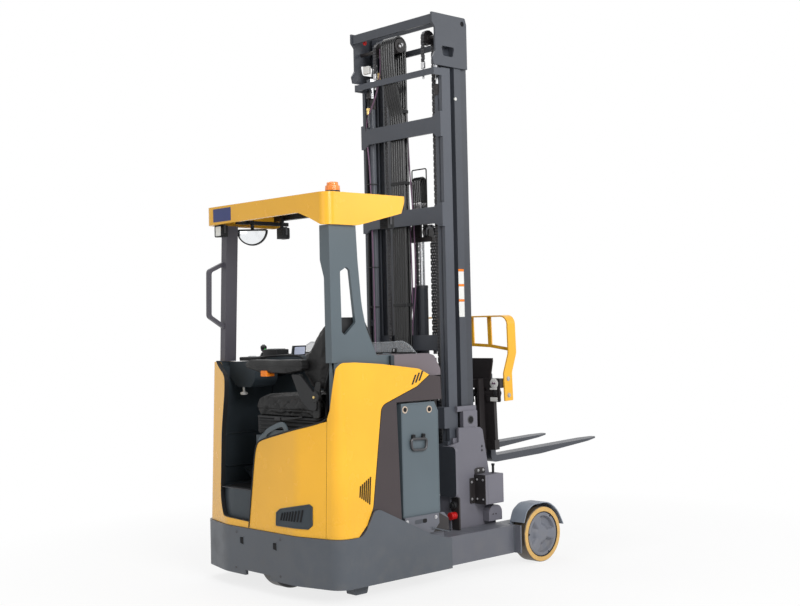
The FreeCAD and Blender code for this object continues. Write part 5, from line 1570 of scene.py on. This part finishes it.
class TRUCK_OT_mast(bpy.types.Operator):
    """Add the chains, sheaves, hoses, cylinder heads, ties, blank labels and screws of the mast"""
    bl_idname = "truck.mast"
    bl_label = "Mast"

    def execute(self, context):
        self.lift_chains()
        self.lift_cylinders()
        self.hoses()
        self.rail_hoses()
        self.free_lift()
        self.labels()
        return {"FINISHED"}

    def sheave(self, centre, width, grooves, radius=0.045):
        """A grooved wheel: its rim's radius dips once for each chain or hose."""
        steps = np.linspace(-width / 2, width / 2, 12 * grooves + 1)
        wave = np.abs(np.cos((steps / width + 0.5) * grooves * PI))
        rim = radius - 0.007 * (1 - wave ** 3)
        profile = [-width / 2, *zip(rim, steps), width / 2]
        hub = [-width / 2 - 0.006, (0.019, -width / 2 - 0.006), (0.021, -width / 2 - 0.002),
            (0.021, width / 2 + 0.002), (0.019, width / 2 + 0.006), width / 2 + 0.006]
        return together([turned(profile, centre, "Y", 48), turned(hub, centre, "Y", 24)])

    def lift_chains(self):
        """Two leaf chains over their sheaves, the shaft, and the chains' anchors."""
        axle = np.array((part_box("mast_chains")[0].x + 0.045, 0, AXLE_HEIGHT))
        arc = np.linspace(0, PI, 12)
        reach = 0.044
        over = np.column_stack([axle[0] + reach * np.cos(arc), axle[2] + reach * np.sin(arc)])
        path = np.vstack([[(axle[0] + reach, 0.45)], over, [(axle[0] - reach, 3.13)]])
        chains = [leaf_chain(path, y, 0.026) for y in CHAIN_PLACES]
        anchors = []
        for y in CHAIN_PLACES:
            anchors.append(slab((axle[0] - reach - 0.009, axle[0] - reach + 0.009),
                (y - 0.012, y + 0.012), 0.003, 3.094, 3.134, "Z"))
            anchors.append(rod(0.0065, 3.03, 3.1, (axle[0] - reach, y, 0), "Z", 16))
            for z in (3.052, 3.07):
                anchors.append(rod(0.0125, z, z + 0.01, (axle[0] - reach, y, 0), "Z", 6))
        shafts = [rod(0.012, start, end, axle, "Y") for start, end in ((-0.369, -0.239), (-0.012, 0.369))]
        wheels = shafts + [self.sheave(axle + (0, y, 0), 0.03, 1) for y in CHAIN_PLACES]
        wheels.append(self.sheave(axle + (0, 0.059, 0), 0.126, 6))
        made = piece("LiftChains", chains, "dark_steel", "middle_mast")
        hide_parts("mast_chains")
        piece("ChainAnchors", anchors, "steel", "middle_mast")
        piece("HeadSheaves", wheels, "fork", "middle_mast")
        piece("SheaveCaps", [bolt_head(axle + (dx, -0.01, dz), "-Y", 0.016) for dx, dz in ((-0.008,
            -0.006), (0.01, 0.006))], "steel", "middle_mast")
        # The pins are drawn as near-black discs in the gap shade: painted shade.
        piece("HeadPins", mirrored(rod(0.0155, -0.377, -0.372, (-0.023, 0, 3.381), "Y", 28)), "void",
            "middle_mast")

    def lift_cylinders(self):
        """Heads of the two lift cylinders, their pipe and joints, and the fittings by the head plates."""
        heads = []
        for sign in (-1, 1):
            spot = np.array((-0.175, sign * 0.31, 2.925))
            heads.append(gland(spot, 0.026, 0.07))
            heads.append(bolt_head((-0.1715, sign * 0.311, 3.125), "Z", 0.026))
        piece("LiftCylinderHeads", heads, "fork", "reach_carriage")
        piece("LiftCylinderPipe", tube(curve_through([(-0.192, 0.305, 2.94), (-0.222, 0.296, 2.94),
            (-0.226, 0.29, 2.9), (-0.224, 0.285, 2.8)], 20), 0.006, 10), "dark_steel", "reach_carriage")
        piece("LiftCylinderJoint", hose_end((-0.226, 0.29, 2.885)), "brass", "reach_carriage")
        piece("HeadBlock", slab((-0.245, -0.222), (0.258, 0.312), 0.004, 3.15, 3.2, "Z"), "white",
            "middle_mast")
        piece("HeadFitting", rod(0.013, 3.13, 3.205, (-0.215, 0.226, 0)), "chrome", "middle_mast")
        piece("HeadJoint", hose_end((-0.215, 0.19, 3.1)), "brass", "middle_mast")
        piece("HeadPlug", turned([-0.012, (0.009, -0.011), (0.013, -0.006), (0.0135, 0.003),
            (0.008, 0.008), 0.009], (-0.243, 0.288, 3.352), "X", 24), "red", "middle_mast")
        piece("CrossbarJoint", hose_end((-0.212, 0.3, 3.035), "-Z", 0.009), "fork", "reach_carriage")

    def hoses(self):
        """Six hoses up the middle, over the wide sheave and down behind the cross beams."""
        reach, x0, arc = 0.0495, -0.203, np.linspace(0, PI, 24)
        bend = 0.0545
        over = np.column_stack([x0 + bend * np.cos(arc), AXLE_HEIGHT + bend * np.sin(arc)])
        front_run = np.linspace((x0 + reach, 0.455), (x0 + reach, 3.24), 12)
        back_run = curve_through([over[-1], (-0.2575, 3.22), (-0.25, 3.08), (-0.215, 2.94),
            (-0.1875, 2.86), (-0.1865, 2.72), (-0.1865, 1.15)], 60)
        path = np.vstack([front_run, over, back_run[1:]])
        made = piece("MastHoses", [tube(np.insert(path, 1, y, axis=1), 0.009, 10) for y in HOSE_PLACES],
            "hose", "middle_mast")
        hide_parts("mast_hoses")
        piece("HoseClamps", [slab((-0.198, x0 + reach + 0.0095), (-0.006, 0.123), 0.004, z, z + 0.022,
            "Z", 0.002) for z in (1.19, 1.62, 2.4, 2.86)], "black", "middle_mast")

    def rail_hoses(self):
        """Two thin hoses down the left lift cylinder, two beside the mast hoses, and their straps."""
        mauve = curve_through([(-0.256, 0.13, 3.285), (-0.25, 0.133, 3.13), (-0.236, 0.205, 2.98),
            (-0.225, 0.3, 2.87), (-0.214, 0.33, 2.78), (-0.21, 0.3, 2.5), (-0.21, 0.29, 1.95),
            (-0.21, 0.287, 1.4), (-0.212, 0.28, 1.1), (-0.215, 0.27, 0.86)], 160)
        black = curve_through([(-0.212, 0.3, 3.0), (-0.214, 0.303, 2.94), (-0.224, 0.315, 2.86),
            (-0.212, 0.33, 2.75), (-0.209, 0.334, 2.4), (-0.209, 0.334, 1.4), (-0.212, 0.33, 0.86)], 120)
        thin = [tube(curve_through([(-0.142, y3, 3.25), (-0.134, y3, 2.6), (-0.134, y0 - 0.01, 2.2),
            (-0.134, y0 - 0.02, 1.9), (-0.136, y1, 1.66), (-0.136, y2, 1.47), (-0.134, y0, 1.25),
            (-0.134, y0, 0.6)], 120), 0.0045, 8) for y0, y1, y2, y3 in ((-0.01, -0.024, 0.02, 0.016),
            (0.026, 0.002, 0.034, 0.03))]
        piece("ThinHoseMauve", [tube(mauve, 0.0045, 8)] + thin, "mauve", "reach_carriage")
        piece("ThinHoseBlack", tube(black, 0.0055, 8), "rubber", "reach_carriage")
        piece("RailStraps", [cable_tie((-0.185, 0.31, z), 0.058, 0.066) for z in (2.43, 1.885, 1.625, 1.3,
            1.02)], "black", "reach_carriage")

    def free_lift(self):
        """Free lift rod and head with its sheaves, chains, pipes and bands, then its hose loops."""
        x, y0 = FREE_LIFT
        made = piece("FreeLiftRod", rod(0.0178, 0.7, 2.036, (x, y0, 0), "Z", 40), "chrome", "free_lift")
        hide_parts("free_lift_rod")
        cross = slab((x - 0.024, x + 0.024), (y0 - 0.112, y0 + 0.112), 0.008, 2.034, 2.064, "Z", 0.004)
        reach, cheeks, wheels, chains, anchors = 0.043, [], [], [], []
        arc = np.linspace(0, PI * 0.75, 10)
        height = 2.095
        over = np.column_stack([x + reach * np.cos(arc), height + reach * np.sin(arc)])
        path = np.vstack([[(x + reach, 1.335)], over])
        for middle in (y0 - 0.0655, y0 + 0.09):
            wheels.append(self.sheave(np.array((x, middle, height)), 0.032, 1, 0.0415))
            chains.append(leaf_chain(path, middle, 0.028 if middle > y0 else 0.056))
            anchors.append(slab((x + reach - 0.01, x + reach + 0.008), (middle - 0.016, middle + 0.016),
                0.003, 1.312, 1.338, "Z"))
            for y in (middle - 0.0195, middle + 0.0195):
                cheeks.append(plate(rounded([(x - 0.024, 2.06), (x + 0.024, 2.06), (x + 0.02, 2.115),
                    (x - 0.02, 2.115)], 0.012), y - 0.003, y + 0.003, "Y", 0.001))
        piece("FreeLiftHead", [cross] + cheeks, "fork", "free_lift")
        piece("FreeLiftSheaves", wheels, "dark_steel", "free_lift")
        piece("FreeLiftChains", chains, "dark_steel", "free_lift")
        piece("FreeChainAnchors", anchors, "steel", "free_lift")
        pipes = [tube(np.linspace((-0.062, y, 0.45), (-0.062, y, 1.745), 30), 0.0075, 10) for y in (0.036,
            0.054, 0.072)]
        piece("FreeLiftGland", gland((x, y0, 1.735), 0.032, 0.02), "dark_steel", "inner_mast")
        piece("FreeLiftPipes", pipes, "mast", "inner_mast")
        piece("FreeLiftBands", [cable_tie((x - 0.004, y0 + 0.008, z), 0.094, 0.08) for z in (0.62, 1.02)],
            "black", "inner_mast")
        self.hose_loops(x, y0)

    def hose_loops(self, x, y0):
        """Five hoses that arch over the free lift's head inside a wire guard."""
        loops, ends = [], []
        arc = np.linspace(0, PI, 16)
        for y in np.arange(5) * -0.0165 + 0.031:
            over = np.column_stack([x + 0.028 * np.cos(arc), y - 0.004 * np.cos(arc),
                2.405 + 0.045 * np.sin(arc)])
            path = curve_through(np.vstack([[(x + 0.027, y, 2.285)], over, [(x - 0.027, y, 2.285)]]), 40)
            loops.append(tube(path, 0.0064, 10))
            for sign in (-1, 1):
                ends.append(turned([0, (0.0065, 0), (0.0065, 0.024), (0.0078, 0.026), (0.0078, 0.052),
                    0.054], (x + sign * 0.0272, y, 2.236), "Z", 12))
        piece("HoseLoops", loops, "hose", "free_lift")
        foot = slab((x - 0.038, x + 0.038), (-0.048, 0.043), 0.006, 2.2, 2.238, "Z")
        struts = [slab((x - 0.02, x + 0.02), (2.06, 2.2), 0.003, y - 0.002, y + 0.002, "Y")
            for y in (-0.05, 0.02)]
        struts.append(slab((x - 0.034, x - 0.02), (2.062, 2.202), 0.003, y0 - 0.028, y0 + 0.056, "Y"))
        piece("HoseLoopFoot", [foot] + struts, "fork", "free_lift")
        piece("HoseLoopEnds", ends, "steel", "free_lift")
        piece("HoseLoopGuard", tube(lifted(rounded([(-0.07, 2.242), (-0.07, 2.505), (0.062, 2.505),
            (0.062, 2.242)], 0.012), x), 0.0042, 8, closed=True), "black", "free_lift")

    def labels(self):
        """Blank white and orange strips on the right rail, and the pale plug above them."""
        y = -0.3712
        whites = [(1.545, 1.64), (1.655, 1.735), (1.75, 1.828)]
        x0, x1 = -0.094, -0.046
        pale = [slab((x0, x1), span, 0.002, y, y + 0.0012, "Y", 0.0003) for span in whites]
        warm = [slab((x0, x1), span, 0.001, y, y + 0.0012, "Y", 0.0003) for span in ((1.641, 1.654),
            (1.736, 1.749), (1.829, 1.843))]
        piece("BlankLabels", pale, "white", "middle_mast")
        piece("LabelBands", warm, "orange", "middle_mast")
        piece("RailPlug", turned([-0.007, (0.008, -0.006), (0.011, -0.003), (0.011, 0.002), 0.002],
            (-0.085, -0.37, 2.905), "Y", 24), "white", "middle_mast")


# ---- reach carriage and fork carriage
class TRUCK_OT_carriage(bpy.types.Operator):
    """Add the reach carriage's screws, valve box, red knob, fittings and hoses"""
    bl_idname = "truck.carriage"
    bl_label = "Reach carriage"

    def execute(self, context):
        self.valve_box()
        self.knob()
        self.screws()
        self.hoses()
        return {"FINISHED"}

    def valve_box(self):
        """Lid, bracket plates, screws and cable gland of the valve box, and thin plates in the darkest
        copy of the mast paint on the rear plate's faces: painted shade.
        """
        x, z = (-0.03, 0.13), (0.385, 0.565)
        piece("ValveBoxLid", slab((x[0] + 0.018, x[1] + 0.002), (z[0] - 0.001, z[1] + 0.001), 0.006,
            -0.503, -0.486, "Y", 0.003), "carriage", "reach_carriage")
        flange = slab((-0.075, -0.028), (0.388, 0.545), 0.008, -0.412, -0.405, "Y")
        ear = plate(rounded([(-0.028, 0.566), (0.062, 0.566), (0.062, 0.596), (0.04, 0.604),
            (-0.012, 0.604), (-0.028, 0.596)], 0.008), -0.412, -0.405, "Y")
        side = slab((-0.5, -0.405), (0.384, 0.566), 0.004, -0.0325, -0.029)
        piece("ValveBoxBracket", [flange, ear, side], "fork", "reach_carriage")
        screws = [bolt_head((sx, -0.412, sz), "-Y", 0.013) for sx, sz in ((-0.06, 0.415), (-0.06, 0.52),
            (0.0, 0.586), (0.045, 0.586))]
        screws += [bolt_head((-0.0325, sy, sz), "-X", 0.011) for sy, sz in ((-0.43, 0.415),
            (-0.48, 0.415), (-0.43, 0.535), (-0.48, 0.535))]
        piece("ValveBoxScrews", screws, "steel", "reach_carriage")
        piece("ValveBoxGland", turned([0, (0.008, 0), (0.008, 0.045), (0.011, 0.047), (0.011, 0.058),
            0.06], (0.105, -0.44, 0.564), "Z", 18), "black", "reach_carriage")
        vent = [bolt_head((x_, -0.458, z_), "-Y", 0.008) for x_, z_ in ((0.078, 0.311), (0.104, 0.311))]
        # Thin plates in the darkest copy of the mast paint: painted shade on the rear plate's faces.
        piece("RearPlateShade", mirrored(slab((-0.478, -0.33), (0.45, 0.757), 0.03, -0.2662, -0.2651, "X",
            0.0002)), "rail", "reach_carriage")
        piece("RollerCoverScrews", vent, "dark_steel", "reach_carriage")

    def knob(self):
        """Dark backing strip beside the rear plate, a black coupling and the red ribbed knob."""
        piece("CouplingPlate", slab((-0.47, -0.4055), (0.25, 0.449), 0.008, -0.236, -0.224), "fork",
            "reach_carriage")
        spot = np.array((-0.236, -0.432, 0.4))
        piece("Coupling", turned([-0.03, (0.012, -0.03), (0.014, -0.024), (0.022, -0.022),
            (0.024, -0.012), (0.024, 0), 0], spot, "X", 32), "rubber", "reach_carriage")
        height = np.linspace(-0.042, 0, 24)
        radius = 0.021 + 0.002 * np.cos(height * 2 * PI / 0.0084)
        piece("RedKnob", turned([-0.044, (0.014, -0.044), *zip(radius, height), 0], spot - (0, 0, 0.063),
            "X", 32), "red", "reach_carriage")

    def screws(self):
        """Screws on the side plates, bushes in the pivot blocks with near-black discs in their holes as
        painted shade, and weld lines.
        """
        piece("SidePlateScrews", mirrored([bolt_head((sx, -0.405, sz), "-Y", 0.012) for sx, sz in ((0.046,
            0.734), (0.046, 0.709), (-0.2, 0.6), (-0.2, 0.3))]), "dark_steel", "reach_carriage")
        pivot = (-0.045, -0.4, 0.905)
        piece("PivotBush", mirrored(turned([(0.0205, -0.002), (0.0255, -0.002), (0.0265, 0),
            (0.0265, 0.004), (0.0205, 0.004), (0.0205, -0.002)], pivot, "Y", 40, False)), "dark_steel",
            "reach_carriage")
        # Near-black discs in the holes: painted shade.
        piece("PivotHoleShade", mirrored(turned([-0.001, (0.0205, -0.001), (0.0205, 0.003)], pivot, "Y", 32)),
            "void", "reach_carriage")
        x = np.linspace(-0.15, 0.01, 70)
        bead = np.column_stack([x, np.full(70, -0.389), 0.8605 - (x + 0.16) * 0.04 + 0.001
            * np.sin(x * WELD_RIPPLE)])
        z = np.linspace(0.12, 0.752, 160)
        seam = np.column_stack([np.full(160, -0.2455) + 0.0008 * np.sin(z * WELD_RIPPLE),
            np.full(160, -0.404), z])
        piece("CarriageWelds", mirrored([tube(bead, 0.0035, 8), tube(seam, 0.003, 8)]), "chassis",
            "reach_carriage")

    def hoses(self):
        """Short hoses from the carriage's foot up to the mast's foot."""
        lines = []
        for k in range(4):
            y = 0.1 + 0.05 * k
            path = curve_through([(-0.238, y, 0.36), (-0.262, y, 0.42), (-0.27, y, 0.52),
                (-0.258, y, 0.62), (-0.225, y, 0.66), (-0.2205, y, 0.668)], 40)
            lines.append(tube(path, 0.008, 10))
        piece("CarriageHoses", lines, "rubber", "reach_carriage")
        piece("CarriageHoseEnds", [hose_end((-0.238, 0.1 + 0.05 * k, 0.36), "-X", 0.008)
            for k in range(4)], "steel", "reach_carriage")


class TRUCK_OT_forks(bpy.types.Operator):
    """Add the fork catches, side shift cylinder's ends, blank plates and the guard's bolts"""
    bl_idname = "truck.forks"
    bl_label = "Forks and backrest"

    def execute(self, context):
        self.shift_cylinder()
        self.catches()
        self.backrest()
        self.carriage_plates()
        return {"FINISHED"}

    def shift_cylinder(self):
        """Rings and hose joints of the side shift cylinder, and the plates by its right end."""
        centre = (0.102, 0, 0.35)
        rings = [turned([s * 0.392, (0.024, s * 0.392), (0.0255, s * 0.388), (0.0255, s * 0.368),
            (0.0235, s * 0.364), s * 0.364], centre, "Y", 32) for s in (-1, 1)]
        rings += [turned([(0.0235, y), (0.0258, y + 0.002), (0.0258, y + 0.016), (0.0235, y + 0.018),
            (0.02, y + 0.018), (0.02, y)], centre, "Y", 32) for y in (-0.2, -0.01, 0.18)]
        piece("ShiftCylinderRings", bent(rings, tilted), "dark_steel", "side_shifter")
        piece("ShiftCylinderJoints", bent([hose_end((0.102, y, 0.33), "-Z", 0.007) for y in (-0.16,
            0.16)], tilted), "steel", "side_shifter")
        disc = turned([0.003, (0.03, 0.003), (0.034, 0.0015), (0.034, 0), 0][::-1], (0, 0, 0), "X", 40)
        points, faces = disc
        disc = (points * (-1, 1, 1) + (0.0815, -0.372, 0.415), faces)
        marks = [bolt_head((0.0785, y, 0.415), "-X", 0.01) for y in (-0.38, -0.364)]
        piece("BlankDisc", bent(disc, tilted), "white", "side_shifter")
        piece("BlankDiscScrews", bent(marks, tilted), "mauve", "side_shifter")
        blank = slab((-0.395, -0.335), (0.3, 0.326), 0.003, 0.0785, 0.082)
        blank2 = slab((-0.395, -0.335), (0.374, 0.386), 0.003, 0.0785, 0.082)
        piece("ShiftEndPlate", bent(plate(rounded([(-0.418, 0.296), (-0.3, 0.296), (-0.3, 0.388),
            (-0.418, 0.388)], 0.012), 0.082, 0.092), tilted), "fork", "side_shifter")
        piece("BlankPlates", bent([blank, blank2], tilted), "white", "side_shifter")

    def catches(self):
        """Spring catches on the fork hooks, and near-black marks in the notches of the upper hook bar:
        painted shade.
        """
        knobs, bodies = [], []
        for sign in (-1, 1):
            y = sign * 0.228
            bodies.append(slab((0.1, 0.165), (y - 0.02, y + 0.02), 0.008, 0.4715, 0.484, "Z"))
            knobs.append(turned([0.484, (0.008, 0.484), (0.008, 0.5), (0.014, 0.502), (0.014, 0.512),
                0.514], (0.13, y, 0), "Z", 20))
        piece("ForkCatches", bent(bodies, tilted), "fork", "side_shifter")
        piece("ForkCatchKnobs", bent(knobs, tilted), "steel", "side_shifter")
        # Near-black marks in the notches: painted shade.
        piece("HookNotchShade", bent([slab((0.083, 0.12), (y - 0.004, y + 0.004), 0.002, 0.4448, 0.4462, "Z")
            for y in np.linspace(-0.38, 0.38, 9)], tilted), "void", "side_shifter")

    def backrest(self):
        """Two bolts on each post, and the weld lines of the upright bars."""
        piece("BackrestBolts", bent(mirrored([bolt_head((0.153, -0.4308, z), "-Y", 0.022) for z in (0.335,
            0.44)]), tilted), "steel", "side_shifter")
        beads = []
        for y in (-0.237, -0.08, 0.08, 0.237):
            path = np.array([(0.2035, y - 0.015, 0.8355), (0.2035, y, 0.8359), (0.2035, y + 0.015,
                0.8355)])
            beads.append(tube(path, 0.0025, 6))
        piece("BackrestWelds", bent(beads, tilted), "guard", "side_shifter")

    def carriage_plates(self):
        """Screws on the lift carriage and caps of the tilt pins."""
        piece("LiftCarriageBolts", [bolt_head((0.003, y, z), "-X", 0.018) for y in (-0.2, 0.2)
            for z in (1.175, 1.225)], "dark_steel", "lift_carriage")
        piece("TiltPinCaps", [turned([s * 0.2925, (0.02, s * 0.2925), (0.02, s * 0.297), (0.012, s * 0.3),
            s * 0.3], (0.14, 0, 0.7), "Y", 28) for s in (-1, 1)], "dark_steel", "lift_carriage")


# ---- panel and run
OPERATORS = (TRUCK_OT_finishes, TRUCK_OT_seat, TRUCK_OT_wheels, TRUCK_OT_panels, TRUCK_OT_chassis,
             TRUCK_OT_cab, TRUCK_OT_guard, TRUCK_OT_hood, TRUCK_OT_mast,
             TRUCK_OT_carriage, TRUCK_OT_forks, TRUCK_OT_stage)


class TRUCK_PT_pieces(bpy.types.Panel):
    """List of the truck's pieces in the sidebar"""
    bl_idname = "TRUCK_PT_pieces"
    bl_label = "Reach truck"
    bl_space_type = "VIEW_3D"
    bl_region_type = "UI"
    bl_category = "Reach truck"

    def draw(self, context):
        for group in (context.scene.truck_sizes, context.scene.truck_colours):
            for name in group.bl_rna.properties.keys():
                if name not in ("rna_type", "name"):
                    self.layout.prop(group, name)
        for operator in OPERATORS:
            self.layout.operator(operator.bl_idname)


CLASSES = (TruckColours, TruckSizes) + OPERATORS + (TRUCK_PT_pieces,)


def register():
    """Register the classes and the scene's properties."""
    for cls in CLASSES:
        bpy.utils.register_class(cls)
    bpy.types.Scene.truck_colours = PointerProperty(type=TruckColours)
    bpy.types.Scene.truck_sizes = PointerProperty(type=TruckSizes)


def unregister():
    """Remove the scene's properties and the classes."""
    del bpy.types.Scene.truck_colours
    del bpy.types.Scene.truck_sizes
    for cls in reversed(CLASSES):
        bpy.utils.unregister_class(cls)


def main():
    """Add every piece in order."""
    register()
    for operator in OPERATORS:
        space, name = operator.bl_idname.split(".")
        getattr(getattr(bpy.ops, space), name)()
    bpy.context.scene.view_settings.view_transform = "Standard"


if __name__ == "__main__":
    main()
